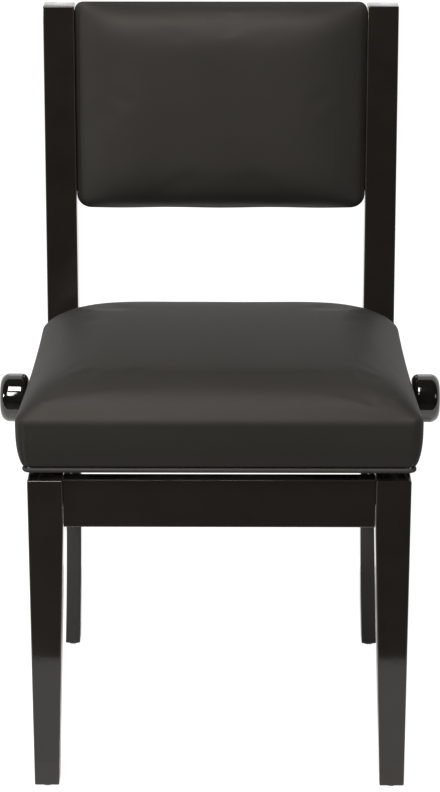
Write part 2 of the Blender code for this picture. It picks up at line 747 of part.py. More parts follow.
piping_path = level(seat_plan(SEAT_DRAW_IN + PIPING_RADIUS - PIPING_PROUD), SEAT_BOTTOM + PIPING_RADIUS)
closed_tube("seat_piping", piping_path, PIPING_RADIUS, PIPING, seat)


# Upper brackets and pins, screwed under the seat board
upper_reach = BOARD_BOTTOM - FIT - SPINDLE_Z
upper_pin_inner = UPPER_LUG_Y - LUG_THICKNESS / 2 - ARM_GAP
upper_pin_outer = ARM_B_Y + ARM_THICKNESS / 2 + ARM_GAP / 3
for word, side in ENDS:
    at = (PIVOT_X, side * UPPER_LUG_Y, SPINDLE_Z - SEAT_BOTTOM)
    bracket(f"upper_bracket_{word}", -side, upper_reach, seat, at)
    ends = sorted((side * upper_pin_inner, side * upper_pin_outer))
    pin(f"upper_pivot_pin_{word}", *ends, PIVOT_X, SPINDLE_Z - SEAT_BOTTOM, seat)


# Scissor arms: flat bars with round ends; the outer pair turns on the frame, the inner on the seat
def arm_bar(name, holes, y, parent):
    """A bar along its pivot's X with holes given as (place along it, radius)."""
    end = ARM_HEIGHT / 2
    outline = arc((ARM_LENGTH, 0.0), end, -90, 90, 8) + arc((0.0, 0.0), end, 90, 270, 8)
    bar = plate(name, [outline, *[circle((x, 0.0), radius) for x, radius in holes]], ARM_THICKNESS, ZINC)
    return place(bar, (0.0, y, 0.0), parent, (math.pi / 2, 0.0, 0.0))


snug = PIN_RADIUS + PIN_CLEARANCE
loose = PIN_RADIUS + LINK_CLEARANCE
middle = ARM_LENGTH / 2
outer_arms = pivot("outer_arm_pivot", (PIVOT_X, SEAT_Y, LOWER_PIVOT_Z), (0.0, -ARM_ANGLE, 0.0))
inner_arms = pivot("inner_arm_pivot", (PIVOT_X, SEAT_Y, SPINDLE_Z), (0.0, ARM_ANGLE, 0.0))
for word, side in ENDS:
    outer_holes = [(0.0, snug), (middle, snug), (ARM_LENGTH, snug)]
    inner_holes = [(0.0, snug), (middle, loose), (ARM_LENGTH, snug)]
    arm_bar(f"outer_arm_{word}", outer_holes, side * ARM_A_Y, outer_arms)
    arm_bar(f"inner_arm_{word}", inner_holes, side * ARM_B_Y, inner_arms)
centre_reach = ARM_A_Y + ARM_THICKNESS / 2 + ARM_GAP
pin("centre_rod", -centre_reach, centre_reach, middle, 0.0, outer_arms)
slide_reach = STRIP_INNER + STRIP_WIDTH * 3 / 4
pin("slide_rod", -slide_reach, slide_reach, ARM_LENGTH, 0.0, inner_arms)


# Trunnion: the bored cross bar that the spindle drives, turned down to pins at its ends
trunnion_axis = pivot("trunnion_axis", (SLIDE_X, SEAT_Y, SPINDLE_Z))
trunnion_half = UPPER_LUG_Y - LUG_THICKNESS / 2
trunnion = block("trunnion", (TRUNNION_SIZE, 2 * trunnion_half, TRUNNION_SIZE), STEEL, WOOD_EDGE)
place(trunnion, (0.0, 0.0, 0.0), trunnion_axis)
journal_length = 2 * (ARM_A_Y + ARM_THICKNESS / 2 + TRUNNION_END)
journals = rod("trunnion_journals", PIN_RADIUS, journal_length, None, PIN_SEGMENTS, CUTTERS)
place(journals, (0.0, 0.0, 0.0), trunnion_axis, (math.pi / 2, 0.0, 0.0))
cut(trunnion, journals, "UNION")
bore_radius = SPINDLE_RADIUS + LINK_CLEARANCE
bore = rod("trunnion_bore", bore_radius, 2 * TRUNNION_SIZE, None, PIN_SEGMENTS, CUTTERS)
place(bore, (0.0, 0.0, 0.0), trunnion_axis, (0.0, math.pi / 2, 0.0))
cut(trunnion, bore)


# Spindle: a long screw across the seat in two bushes, with a collar inside each and a knob outside
spindle = pivot("spindle_axis", (0.0, SEAT_Y, SPINDLE_Z))
hub_inner = KNOB_INNER - KNOB_HUB_LENGTH
shaft_half = hub_inner + KNOB_BORE_DEPTH - FIT
shaft = rod("spindle_shaft", SPINDLE_RADIUS, 2 * shaft_half, STEEL, ROUND_STEPS)
place(shaft, (0.0, 0.0, 0.0), spindle, (0.0, math.pi / 2, 0.0))
running = SPINDLE_RADIUS + PIN_CLEARANCE


def bush(name, side):
    """A flanged bearing bush, flange against the inner face of the rail."""
    profile = [
        (running, BOX_HALF_X),
        (BUSH_RADIUS, BOX_HALF_X),
        (BUSH_RADIUS, RAIL_INNER - FIT),
        (BUSH_FLANGE_RADIUS, RAIL_INNER - FIT),
        (BUSH_FLANGE_RADIUS, FLANGE_INNER),
        (running, FLANGE_INNER),
    ]
    on_seat(turned(name, profile, BRONZE, closed=True), 0.0, 0.0, SPINDLE_Z, (0.0, side * math.pi / 2, 0.0))


def knob(name, side):
    """A round-edged hand knob with a short hub and a blind bore for the shaft's end."""
    rim = KNOB_RADIUS - KNOB_ROUND
    front = arc((rim, KNOB_OUTER - KNOB_ROUND), KNOB_ROUND, 90, 0, 6)
    back_rim = KNOB_RADIUS - KNOB_BACK_ROUND
    back = arc((back_rim, KNOB_INNER + KNOB_BACK_ROUND), KNOB_BACK_ROUND, 0, -90, 4)
    profile = [
        (0.0, KNOB_OUTER),
        *front,
        *back,
        (KNOB_HUB_RADIUS, KNOB_INNER),
        (KNOB_HUB_RADIUS, hub_inner),
        (running, hub_inner),
        (running, hub_inner + KNOB_BORE_DEPTH),
        (0.0, hub_inner + KNOB_BORE_DEPTH),
    ]
    place(turned(name, profile, BAKELITE), (0.0, 0.0, 0.0), spindle, (0.0, side * math.pi / 2, 0.0))


for word, side in SIDES:
    bush(f"spindle_bush_{word}", side)
    collar = ring(f"spindle_collar_{word}", running, COLLAR_RADIUS, COLLAR_WIDTH, ZINC)
    place(collar, (side * COLLAR_X, 0.0, 0.0), spindle, (0.0, math.pi / 2, 0.0))
    knob(f"knob_{word}", side)


# Backrest: a round-cornered plywood board on dowels between the posts, padded in front, covered behind
back = pivot("backrest_plane", (0.0, BACK_Y, BACK_MIDDLE), (-BACK_ANGLE, 0.0, 0.0))
board_outline = rounded_outline(BACK_HALF_X, BACK_HEIGHT / 2 - BACK_BOARD_INSET, BACK_PAD_CORNER)


def back_layer(name, y_low, y_high, material):
    """A flat layer of the backrest, between two depths behind its front plane."""
    layer = loft(name, [[(x, y, z) for x, z in board_outline] for y in (y_low, y_high)], material)
    return place(layer, (0.0, 0.0, 0.0), back)


back_board = back_layer("backrest_board", 0.0, BACK_BOARD_THICKNESS, PLYWOOD)
for word, side in SIDES:
    for level, height in (("lower", -DOWEL_SPACING / 2), ("upper", DOWEL_SPACING / 2)):
        at = (side * POST_INNER, BACK_BOARD_THICKNESS / 2, height)
        dowel = rod(f"backrest_dowel_{level}_{word}", DOWEL_RADIUS, DOWEL_LENGTH, BEECH)
        place(dowel, at, back, (0.0, math.pi / 2, 0.0))
        hole_length = DOWEL_LENGTH + 2 * FIT
        hole_radius = DOWEL_RADIUS + PIN_CLEARANCE
        hole = rod(f"dowel_hole_{level}_{word}", hole_radius, hole_length, None, PIN_SEGMENTS, CUTTERS)
        place(hole, at, back, (0.0, math.pi / 2, 0.0))
        cut(back_board, hole)
        cut(rear_posts[word], hole)


# Back pad: foam under leatherette, crowned towards the sitter, its edges rolled in to the board
def back_plan(inset):
    """The pad's outline in the plane of the back, drawn in by inset."""
    radius = inset_corner(BACK_PAD_CORNER, inset, BACK_BOARD_INSET)
    return rounded_outline(BACK_HALF_X - inset, BACK_HEIGHT / 2 - inset, radius)


def towards_sitter(points, depth):
    return [(x, -depth, z) for x, z in points]


def back_pad():
    rolled = roll(BACK_PAD_ROLL, BACK_ROLL_END, 4)
    top_inset, top_rise = rolled[-1]
    edge = BACK_PAD_EDGE - top_rise
    rings = [towards_sitter(back_plan(BACK_BOARD_INSET / 3), FIT), towards_sitter(back_plan(0.0), edge)]
    for inset, rise in rolled:
        rings.append(towards_sitter(back_plan(inset), edge + rise))
    reach = BACK_HEIGHT / 2 - top_inset
    half_x = BACK_HALF_X - top_inset
    for share in (0.05, 0.12, 0.22, 0.35, 0.52, 0.75):
        points = []
        for x, z in back_plan(top_inset + reach * share):
            rise = crown_rise(x / half_x, z / reach, BACK_CROWN_POWER, BACK_CROWN_POWER)
            points.append((x, -BACK_PAD_EDGE - BACK_PAD_CROWN * rise, z))
        rings.append(points)
    pad = loft("backrest_cushion", rings, LEATHERETTE, (0.0, -BACK_PAD_EDGE - BACK_PAD_CROWN, 0.0))
    place(pad, (0.0, 0.0, 0.0), back)


back_pad()
cover_front = BACK_BOARD_THICKNESS + FIT
back_cover = back_layer("backrest_back_cover", cover_front, cover_front + BACK_COVER_THICKNESS, LEATHERETTE)
round_edges(back_cover, BACK_COVER_EDGE)
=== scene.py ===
"""A height-adjustable piano chair: black polyester-lacquered beech, leatherette over foam, and the
screw-driven scissor lift under its seat. Metres, +Z up, the sitter faces -Y."""

import math

import bpy
import numpy as np
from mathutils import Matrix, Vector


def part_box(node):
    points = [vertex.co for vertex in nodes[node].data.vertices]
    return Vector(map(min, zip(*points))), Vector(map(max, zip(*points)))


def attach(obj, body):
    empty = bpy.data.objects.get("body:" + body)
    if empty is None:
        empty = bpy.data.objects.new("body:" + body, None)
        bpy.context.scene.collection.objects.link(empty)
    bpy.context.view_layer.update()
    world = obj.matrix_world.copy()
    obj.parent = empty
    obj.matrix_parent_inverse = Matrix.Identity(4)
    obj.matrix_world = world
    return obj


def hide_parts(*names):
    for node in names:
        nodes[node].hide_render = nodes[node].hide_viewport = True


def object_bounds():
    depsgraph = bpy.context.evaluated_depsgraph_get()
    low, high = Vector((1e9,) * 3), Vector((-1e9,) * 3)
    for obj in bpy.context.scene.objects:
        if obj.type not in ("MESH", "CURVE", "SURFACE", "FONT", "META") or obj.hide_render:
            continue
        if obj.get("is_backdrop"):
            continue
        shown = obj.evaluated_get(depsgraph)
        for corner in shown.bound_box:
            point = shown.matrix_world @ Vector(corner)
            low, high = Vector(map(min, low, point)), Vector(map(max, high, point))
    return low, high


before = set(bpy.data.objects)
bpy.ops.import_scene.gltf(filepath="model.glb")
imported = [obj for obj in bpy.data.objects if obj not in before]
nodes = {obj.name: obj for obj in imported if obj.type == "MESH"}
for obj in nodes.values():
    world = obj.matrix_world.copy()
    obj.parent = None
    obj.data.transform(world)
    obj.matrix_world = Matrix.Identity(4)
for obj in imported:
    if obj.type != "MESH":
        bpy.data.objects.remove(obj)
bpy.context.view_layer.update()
scene = bpy.context.scene
scene.view_settings.view_transform = "Standard"


# The set: white paper on the floor, a white surround, soft lamps, and a long lens that looks down on
# the front. The paper ends a step in front of the chair; past it, a dark room is painted into the
# gloss alone as a painted reflection.
def linear(hex_colour):
    """An sRGB hex colour as linear red, green, blue and alpha."""
    shown = np.array([int(hex_colour[at : at + 2], 16) for at in (1, 3, 5)]) / 255
    low, high = shown / 12.92, ((shown + 0.055) / 1.055) ** 2.4
    return (*np.where(shown <= 0.04045, low, high), 1.0)


def add(tree, kind, inputs=(), **settings):
    """Add a node: settings are its own properties, inputs give a value or a feeding socket each."""
    node = tree.nodes.new(kind)
    for name, value in settings.items():
        setattr(node, name, value)
    for name, value in dict(inputs).items():
        if isinstance(value, bpy.types.NodeSocket):
            tree.links.new(value, node.inputs[name])
        else:
            node.inputs[name].default_value = value
    return node


def seen_directly(tree):
    """1 for rays that show the surface as it is: to the lens, in gloss and through glass."""
    path = add(tree, "ShaderNodeLightPath")
    shown = path.outputs["Is Camera Ray"]
    for kind in ("Is Glossy Ray", "Is Transmission Ray"):
        either = add(tree, "ShaderNodeMath", {0: shown, 1: path.outputs[kind]}, operation="MAXIMUM")
        shown = either.outputs[0]
    return shown


AMBIENT, SEEN_WHITE = 0.14, 1.0
world = bpy.data.worlds.new("white_surround")
scene.world = world
world.use_nodes = True
tree = world.node_tree
tree.nodes.clear()
strength = add(tree, "ShaderNodeMapRange",
               {"Value": seen_directly(tree), "To Min": AMBIENT, "To Max": SEEN_WHITE})
surround = add(tree, "ShaderNodeBackground",
               {"Color": linear("#ffffff"), "Strength": strength.outputs["Result"]})
add(tree, "ShaderNodeOutputWorld", {"Surface": surround.outputs[0]})

PAPER_SIZE, PAPER_LIFT = 30.0, 0.97
paper = bpy.data.materials.new("white_background_paper")
paper.use_nodes = True
tree = paper.node_tree
tree.nodes.clear()
matt = add(tree, "ShaderNodeBsdfDiffuse", {"Color": linear("#8f8e8c")})
lift = add(tree, "ShaderNodeMath", {0: seen_directly(tree), 1: PAPER_LIFT}, operation="MULTIPLY")
glow = add(tree, "ShaderNodeEmission", {"Color": linear("#ffffff"), "Strength": lift.outputs[0]})
both = add(tree, "ShaderNodeAddShader", {0: matt.outputs[0], 1: glow.outputs[0]})
add(tree, "ShaderNodeOutputMaterial", {"Surface": both.outputs[0]})


def finish(name, hex_colour, roughness, **sockets):
    """A material with one Principled shader; returns it with its node tree and shader."""
    material = bpy.data.materials.new(name)
    material.use_nodes = True
    shader = material.node_tree.nodes["Principled BSDF"]
    shader.inputs["Base Color"].default_value = linear(hex_colour)
    shader.inputs["Roughness"].default_value = roughness
    for socket, value in sockets.items():
        shader.inputs[socket.replace("_", " ")].default_value = value
    return material, material.node_tree, shader


def sheet_of(name, corners, material, gloss_only=True):
    """A flat four-cornered sheet, which may be there only for the gloss to mirror."""
    mesh = bpy.data.meshes.new(name)
    mesh.from_pydata(corners, [], [(0, 1, 2, 3)])
    mesh.materials.append(material)
    obj = bpy.data.objects.new(name, mesh)
    scene.collection.objects.link(obj)
    obj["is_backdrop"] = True
    if gloss_only:
        obj.visible_camera = obj.visible_diffuse = obj.visible_shadow = False


far = PAPER_SIZE / 2
sheet_of("floor_paper", [(-far, -far, 0), (far, -far, 0), (far, far, 0), (-far, far, 0)], paper,
         gloss_only=False)

# Seen only in the gloss: a painted reflection of a dark room before the paper, and painted shade of
# the chair on the paper under it.
DARK_FROM_LEFT, DARK_FROM_RIGHT, DARK_TO = -0.59, -0.53, -9.0
DARK_HALF, DARK_HEIGHT, CEILING, CEILING_END = 5.0, 0.002, 4.0, 1.8
room = finish("painted_reflection_dark_room", "#3a3836", 0.5)[0]
sheet_of("painted_reflection_dark_floor", [
    (-DARK_HALF, DARK_TO, DARK_HEIGHT), (DARK_HALF, DARK_TO, DARK_HEIGHT),
    (DARK_HALF, DARK_FROM_RIGHT, DARK_HEIGHT), (-DARK_HALF, DARK_FROM_LEFT, DARK_HEIGHT)], room)
sheet_of("painted_reflection_dark_wall", [
    (-DARK_HALF, DARK_TO, 0.0), (DARK_HALF, DARK_TO, 0.0), (DARK_HALF, DARK_TO, CEILING),
    (-DARK_HALF, DARK_TO, CEILING)], room)
sheet_of("painted_reflection_dark_ceiling", [
    (-DARK_HALF, DARK_TO, CEILING), (DARK_HALF, DARK_TO, CEILING), (DARK_HALF, CEILING_END, CEILING),
    (-DARK_HALF, CEILING_END, CEILING)], room)
for word, x in (("left", -DARK_HALF), ("right", DARK_HALF)):
    sheet_of(f"painted_reflection_dark_side_{word}", [
        (x, DARK_TO, 0.0), (x, DARK_FROM_LEFT, 0.0), (x, CEILING_END, CEILING),
        (x, DARK_TO, CEILING)], room)
# Painted shade under the chair: a pale sheet with a faint glow, seen only in the gloss.
SHADE_HALF, SHADE_FRONT, SHADE_BACK, SHADE_GLOW = 0.32, -0.27, 0.45, 0.2
shaded = finish("painted_shade_on_the_paper", "#f1f0ee", 0.5, Emission_Strength=SHADE_GLOW)[0]
sheet_of("painted_shade_under_the_chair", [
    (-SHADE_HALF, SHADE_FRONT, DARK_HEIGHT), (SHADE_HALF, SHADE_FRONT, DARK_HEIGHT),
    (SHADE_HALF, SHADE_BACK, DARK_HEIGHT), (-SHADE_HALF, SHADE_BACK, DARK_HEIGHT)], shaded)

WARM = "#fffaf2"


def soft_lamp(name, place, target, size, power):
    """A square, slightly warm softbox that faces a target."""
    lamp = bpy.data.lights.new(name, "AREA")
    lamp.size = size
    lamp.energy = power
    lamp.color = linear(WARM)[:3]
    obj = bpy.data.objects.new(name, lamp)
    obj.location = place
    away = np.array(place) - np.array(target)
    across, level = math.hypot(away[0], away[1]), math.atan2(away[1], away[0])
    obj.rotation_euler = (math.atan2(across, away[2]), 0.0, level + math.pi / 2)
    obj.visible_camera = False
    scene.collection.objects.link(obj)


soft_lamp("softbox_above", (-0.3, -1.45, 2.95), (0.0, 0.0, 0.5), 1.0, 95.0)
soft_lamp("softbox_front", (-0.9, -2.4, 2.2), (0.0, 0.0, 0.5), 0.9, 54.0)
soft_lamp("softbox_left", (-2.4, -0.75, 0.95), (0.0, 0.0, 0.6), 0.3, 16.0)
soft_lamp("softbox_right", (2.4, -1.2, 1.2), (0.0, 0.0, 0.6), 0.6, 4.0)
soft_lamp("softbox_behind", (0.0, 2.8, 1.6), (0.0, 0.2, 0.8), 1.4, 4.0)

LENS_MM, SENSOR_MM, LOOK_DOWN, LOOK_LEFT = 119.112, 36.0, 19.5093, 0.2807
camera = bpy.data.objects.new("camera", bpy.data.cameras.new("camera"))
camera.data.lens = LENS_MM
camera.data.sensor_width = SENSOR_MM
camera.location = (0.01437, -2.96494, 1.46805)
camera.rotation_euler = (math.radians(90 - LOOK_DOWN), 0.0, math.radians(LOOK_LEFT))
scene.collection.objects.link(camera)
scene.camera = camera


# Front legs: square beech, tapered below the apron on the two inner sides, sprayed with black
# polyester and buffed to a deep gloss. Each is mortised for two aprons and stands on a nylon glide.
def pattern(tree, kind, size_mm, stretch=(1.0, 1.0, 1.0), **inputs):
    """A texture on Object coordinates, its features about size_mm apart and stretched along the axes."""
    place = add(tree, "ShaderNodeTexCoord").outputs["Object"]
    scale = [1000.0 / size_mm / share for share in stretch]
    turned = add(tree, "ShaderNodeMapping", {"Vector": place, "Scale": scale})
    return add(tree, kind, {"Vector": turned.outputs[0], "Scale": 1.0, **inputs})


def noise(tree, size_mm, stretch=(1.0, 1.0, 1.0), **inputs):
    """Cloudy noise from 0 to 1."""
    return pattern(tree, "ShaderNodeTexNoise", size_mm, stretch, **inputs).outputs["Fac"]


def between(tree, factor, low, high):
    """Values from low to high, or colours from a hex or a socket to a hex, as factor goes from 0 to 1."""
    if isinstance(high, str):
        colour = linear(low) if isinstance(low, str) else low
        mix = add(tree, "ShaderNodeMix", {0: factor, 6: colour, 7: linear(high)}, data_type="RGBA")
        return mix.outputs[2]
    return add(tree, "ShaderNodeMapRange", {"Value": factor, "To Min": low, "To Max": high}).outputs[0]


def vary(tree, shader, factor, colours, roughness):
    """Let the colour and the roughness each go from a first to a second value with factor."""
    tree.links.new(between(tree, factor, *colours), shader.inputs["Base Color"])
    tree.links.new(between(tree, factor, *roughness), shader.inputs["Roughness"])


def raise_by(tree, shader, height, distance, strength=1.0):
    """Bump: height from 0 to 1 stands for distance in metres."""
    bump = add(tree, "ShaderNodeBump", {"Height": height, "Distance": distance, "Strength": strength})
    tree.links.new(bump.outputs[0], shader.inputs["Normal"])


# Polyester lacquer on beech, buffed: a clear hard gloss over a warm near-black, with a faint
# spray ripple in its reflections, polishing haze in patches, and arrises painted a little lighter,
# for lacquer worn thinner there and as a painted edge highlight.
lacquer, tree, shader = finish("polyester_lacquered_beech", "#1e1b18", 0.07, IOR=1.45)
haze = noise(tree, 45.0, Detail=4.0, Roughness=0.6)
tone = between(tree, haze, "#141210", "#1d1b19")
# Arrises painted lighter: worn lacquer, and a painted edge highlight.
arris_wear_and_highlight = add(tree, "ShaderNodeAttribute", attribute_name="arris").outputs["Fac"]
tree.links.new(between(tree, arris_wear_and_highlight, tone, "#332c27"), shader.inputs["Base Color"])
tree.links.new(between(tree, haze, 0.045, 0.115), shader.inputs["Roughness"])
raise_by(tree, shader, noise(tree, 7.0, Detail=1.0), 0.00002)


def grid_faces(rows, columns):
    """Corner numbers of the quads of a grid whose last column joins the first."""
    row, column = np.meshgrid(np.arange(rows - 1), np.arange(columns), indexing="ij")
    after = (column + 1) % columns
    corners = [row * columns + column, row * columns + after,
               (row + 1) * columns + after, (row + 1) * columns + column]
    return np.stack(corners, axis=-1).reshape(-1, 4)


def closed_ends(points):
    """Faces of a grid of points that wraps round, with its first and last rows as end faces."""
    rows, columns = points.shape[:2]
    first, last = list(range(columns)), list(range((rows - 1) * columns, rows * columns))
    return grid_faces(rows, columns).tolist() + [first[::-1], last]


def piece(name, points, faces, material, body, slot, *stands_for):
    """A smooth mesh from arrays of points and corner numbers, riding on a body."""
    mesh = bpy.data.meshes.new(name)
    corners = [list(map(int, face)) for face in faces]
    mesh.from_pydata(np.asarray(points).reshape(-1, 3).tolist(), [], corners)
    mesh.shade_smooth()
    mesh.materials.append(material)
    obj = bpy.data.objects.new(name, mesh)
    scene.collection.objects.link(obj)
    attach(obj, body)
    if stands_for:
        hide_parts(*stands_for)
    return obj


def mark(obj, name, values):
    """Give each vertex a number that its material reads."""
    numbers = obj.data.attributes.new(name, "FLOAT", "POINT")
    numbers.data.foreach_set("value", np.asarray(values, float).ravel())


WOOD_EDGE, BESIDE_ARC, BESIDE_BUTT = 0.0016, 0.4, 0.2
ARC_STEPS = 6
TIP_ANGLES = np.radians(np.array([0.0, 22.0, 45.0, 66.0, 84.0]))


def bar(name, along, u_low, u_high, v_low, v_high, axes, free_ends=(True, True)):
    """A lacquered bar: a rectangle with quarter-round arrises carried along a line.

    Round the section, a point is the arris centre plus WOOD_EDGE times (cos, sin) of its angle, and
    one more point beside each arc keeps the flats flat. A free end turns over by the same quarter
    circle: the radius shrinks by cos while the end moves out by sin. A butted end gets a row close
    by, so that the flats stay flat up to the joint.
    """
    turn = np.linspace(0.0, math.pi / 2, ARC_STEPS + 1)
    beside = BESIDE_ARC * WOOD_EDGE
    cos, sin = np.cos(turn), np.sin(turn)
    arc_u = np.concatenate([[1.0], cos, [0.0]])
    arc_v = np.concatenate([[0.0], sin, [1.0]])
    slip_u = np.concatenate([np.zeros(ARC_STEPS + 2), [-beside]])
    slip_v = np.concatenate([[-beside], np.zeros(ARC_STEPS + 2)])
    quarters = ((1, 0), (0, 1), (-1, 0), (0, -1))
    all_round = lambda u, v: [np.concatenate([c * u - s * v for c, s in quarters]),
                              np.concatenate([s * u + c * v for c, s in quarters])]
    (ring_u, ring_v), (off_u, off_v) = all_round(arc_u, arc_v), all_round(slip_u, slip_v)
    side_u = np.repeat([1, -1, -1, 1], len(arc_u))
    side_v = np.repeat([1, 1, -1, -1], len(arc_u))
    on_arc = np.tile(np.concatenate([[0.0], np.sin(2 * turn), [0.0]]), 4)

    along, u_low, u_high, v_low, v_high = np.broadcast_arrays(along, u_low, u_high, v_low, v_high)
    rows = [np.array(value, float) for value in (along, u_low, u_high, v_low, v_high)]
    radius = np.full(len(along), WOOD_EDGE)
    for end, step in ((0, 1), (-1, -1)):
        if not free_ends[end]:
            at = 1 if end == 0 else len(radius) - 1
            close_by = rows[0][end] + step * BESIDE_BUTT * WOOD_EDGE
            rows = [np.insert(value, at, new) for value, new in
                    zip(rows, [close_by, *[value[end] for value in rows[1:]]])]
            radius = np.insert(radius, at, WOOD_EDGE)
            continue
        place = rows[0][end] + step * WOOD_EDGE * (1 - np.sin(TIP_ANGLES))
        shrunk = WOOD_EDGE * np.cos(TIP_ANGLES)
        order = slice(None, None, -1) if end == 0 else slice(None)
        kept = slice(1, None) if end == 0 else slice(None, -1)
        join = lambda new, old: np.concatenate([new, old] if end == 0 else [old, new])
        rows = [join(place[order], rows[0][kept])] + [
            join(np.full(len(TIP_ANGLES), value[end]), value[kept]) for value in rows[1:]]
        radius = join(shrunk[order], radius[kept])
    s, u0, u1, v0, v1 = [value[:, None] for value in rows]
    half_u, half_v = (u1 - u0) / 2 - WOOD_EDGE, (v1 - v0) / 2 - WOOD_EDGE
    u = (u0 + u1) / 2 + side_u * half_u + radius[:, None] * ring_u + off_u
    v = (v0 + v1) / 2 + side_v * half_v + radius[:, None] * ring_v + off_v
    points = np.zeros((*u.shape, 3))
    points[..., axes[0]], points[..., axes[1]], points[..., axes[2]] = u, v, s + 0 * u
    obj = piece(name + "_lacquered", points, closed_ends(points), lacquer, "frame", "lacquered_wood",
                name)
    # The arris marks let the lacquer paint the arrises lighter: worn lacquer and a painted edge
    # highlight.
    mark(obj, "arris", np.broadcast_to(on_arc, u.shape))


HALF_WIDTH, Y_FRONT, Y_POST = 0.2175, -0.208, 0.164
LEG_TOP, APRON_BOTTOM, FOOT_Z = 0.389, 0.331, 0.0043
LEG_WIDTH, LEG_DEPTH, LEG_FOOT = 0.040, 0.036, 0.029
SIDES = (("left", -1), ("right", 1))
ENDS = (("front", -1), ("rear", 1))
KINK, LEG_ROWS = 0.004, (0.02, 0.12, 0.22)

leg_z = np.array([FOOT_Z, *LEG_ROWS, APRON_BOTTOM - KINK, APRON_BOTTOM + KINK, LEG_TOP])
leg_share = np.clip((leg_z - FOOT_Z) / (APRON_BOTTOM - FOOT_Z), 0.0, 1.0)
leg_width = LEG_FOOT + (LEG_WIDTH - LEG_FOOT) * leg_share
leg_depth = LEG_FOOT + (LEG_DEPTH - LEG_FOOT) * leg_share
for word, side in SIDES:
    outer, inner = side * HALF_WIDTH, side * (HALF_WIDTH - leg_width)
    bar(f"front_leg_{word}", leg_z, np.minimum(outer, inner), np.maximum(outer, inner),
        Y_FRONT, Y_FRONT + leg_depth, (0, 1, 2))


# Rear posts: leg, rail joint and back upright sawn in one piece from thick beech, raked back and
# slimmer towards the floor, leaning back above the seat, lacquered as the legs are.
POST_TOP, LEAN_START, WAIST = 0.851, 0.420, 0.165
POST_WIDTH, POST_DEPTH = 0.0388, 0.036
POST_TOP_WIDTH, POST_TOP_DEPTH, POST_LEAN = 0.0378, 0.026, 0.030
FOOT_WIDTH, FOOT_DEPTH, FOOT_RAKE, FOOT_SPLAY = 0.019, 0.028, 0.024, 0.0072
POST_INNER = HALF_WIDTH - POST_WIDTH
LEAN_BLEND, ABOVE_RAKE, ABOVE_LEAN = 0.030, 0.345, 0.48
post_z = np.concatenate([
    np.linspace(FOOT_Z, APRON_BOTTOM, 40), np.linspace(ABOVE_RAKE, LEAN_START + LEAN_BLEND, 14),
    np.linspace(ABOVE_LEAN, POST_TOP, 8)])
drop = np.clip((APRON_BOTTOM - post_z) / (APRON_BOTTOM - FOOT_Z), 0.0, 1.0)
waist = np.clip((APRON_BOTTOM - post_z) / (APRON_BOTTOM - WAIST), 0.0, 1.0)
waist = waist * waist * (3 - 2 * waist)
rise = np.clip(post_z - LEAN_START, 0.0, None) / (POST_TOP - LEAN_START)
bend = np.clip((post_z - LEAN_START + LEAN_BLEND) / (2 * LEAN_BLEND), 0.0, 1.0)
soft_rise = np.where(bend < 1.0, bend * bend * LEAN_BLEND / (POST_TOP - LEAN_START), rise)
post_width = (POST_WIDTH + (FOOT_WIDTH - POST_WIDTH) * waist) + (POST_TOP_WIDTH - POST_WIDTH) * rise
post_depth = POST_DEPTH + (FOOT_DEPTH - POST_DEPTH) * drop + (POST_TOP_DEPTH - POST_DEPTH) * rise
post_inner = POST_INNER + FOOT_SPLAY * drop**2
post_front = Y_POST + FOOT_RAKE * drop**2 + POST_LEAN * soft_rise
for word, side in SIDES:
    inner, outer = side * post_inner, side * (post_inner + post_width)
    bar(f"rear_post_{word}", post_z, np.minimum(inner, outer), np.maximum(inner, outer),
        post_front, post_front + post_depth, (0, 1, 2))


# Aprons: four lacquered beech boards, tenoned and glued into the legs and posts. The front and side
# ones stand a few millimetres behind the legs' outer faces.
SETBACK, THICK, BUTT = 0.004, 0.020, 0.0003
apron_y = (Y_FRONT + SETBACK, Y_FRONT + SETBACK + THICK)
half_front = HALF_WIDTH - LEG_WIDTH - BUTT
half_rear = POST_INNER - BUTT
butted = (False, False)
bar("front_apron", (-half_front, half_front), *apron_y, APRON_BOTTOM, LEG_TOP, (1, 2, 0),
    free_ends=butted)
bar("rear_apron", (-half_rear, half_rear), Y_POST, Y_POST + THICK, APRON_BOTTOM, LEG_TOP, (1, 2, 0),
    free_ends=butted)
for word, side in SIDES:
    faces_x = sorted((side * (HALF_WIDTH - SETBACK), side * (HALF_WIDTH - SETBACK - THICK)))
    bar(f"side_apron_{word}", (Y_FRONT + LEG_DEPTH + BUTT, Y_POST - BUTT), APRON_BOTTOM, LEG_TOP,
        *faces_x, (2, 0, 1), free_ends=butted)


# Glides: black nylon discs under the four feet, each moulded with a stem that is pressed into a hole
# in the leg's end.
def turned(profile, steps):
    """A profile of (radius, height) points swept once round Z: x = r cos, y = r sin."""
    radius, height = np.array(profile, float).T
    angle = np.linspace(0.0, math.tau, steps, endpoint=False)
    return np.stack([radius[:, None] * np.cos(angle), radius[:, None] * np.sin(angle),
                     height[:, None] + 0 * angle], axis=-1)


def arc(centre, radius, start, end, steps):
    """Points on a circle's arc, angles in degrees."""
    angle = np.radians(np.linspace(start, end, steps + 1))
    return np.stack([centre[0] + radius * np.cos(angle), centre[1] + radius * np.sin(angle)], axis=-1)


# Moulded nylon: dull black with a fine spark-eroded texture and grey scuffs.
nylon, tree, shader = finish("moulded_nylon", "#161616", 0.5, IOR=1.53)
scuff = noise(tree, 3.0, Detail=6.0, Roughness=0.7)
vary(tree, shader, scuff, ("#0f0f0f", "#262524"), (0.42, 0.62))
raise_by(tree, shader, noise(tree, 0.6), 0.00003)

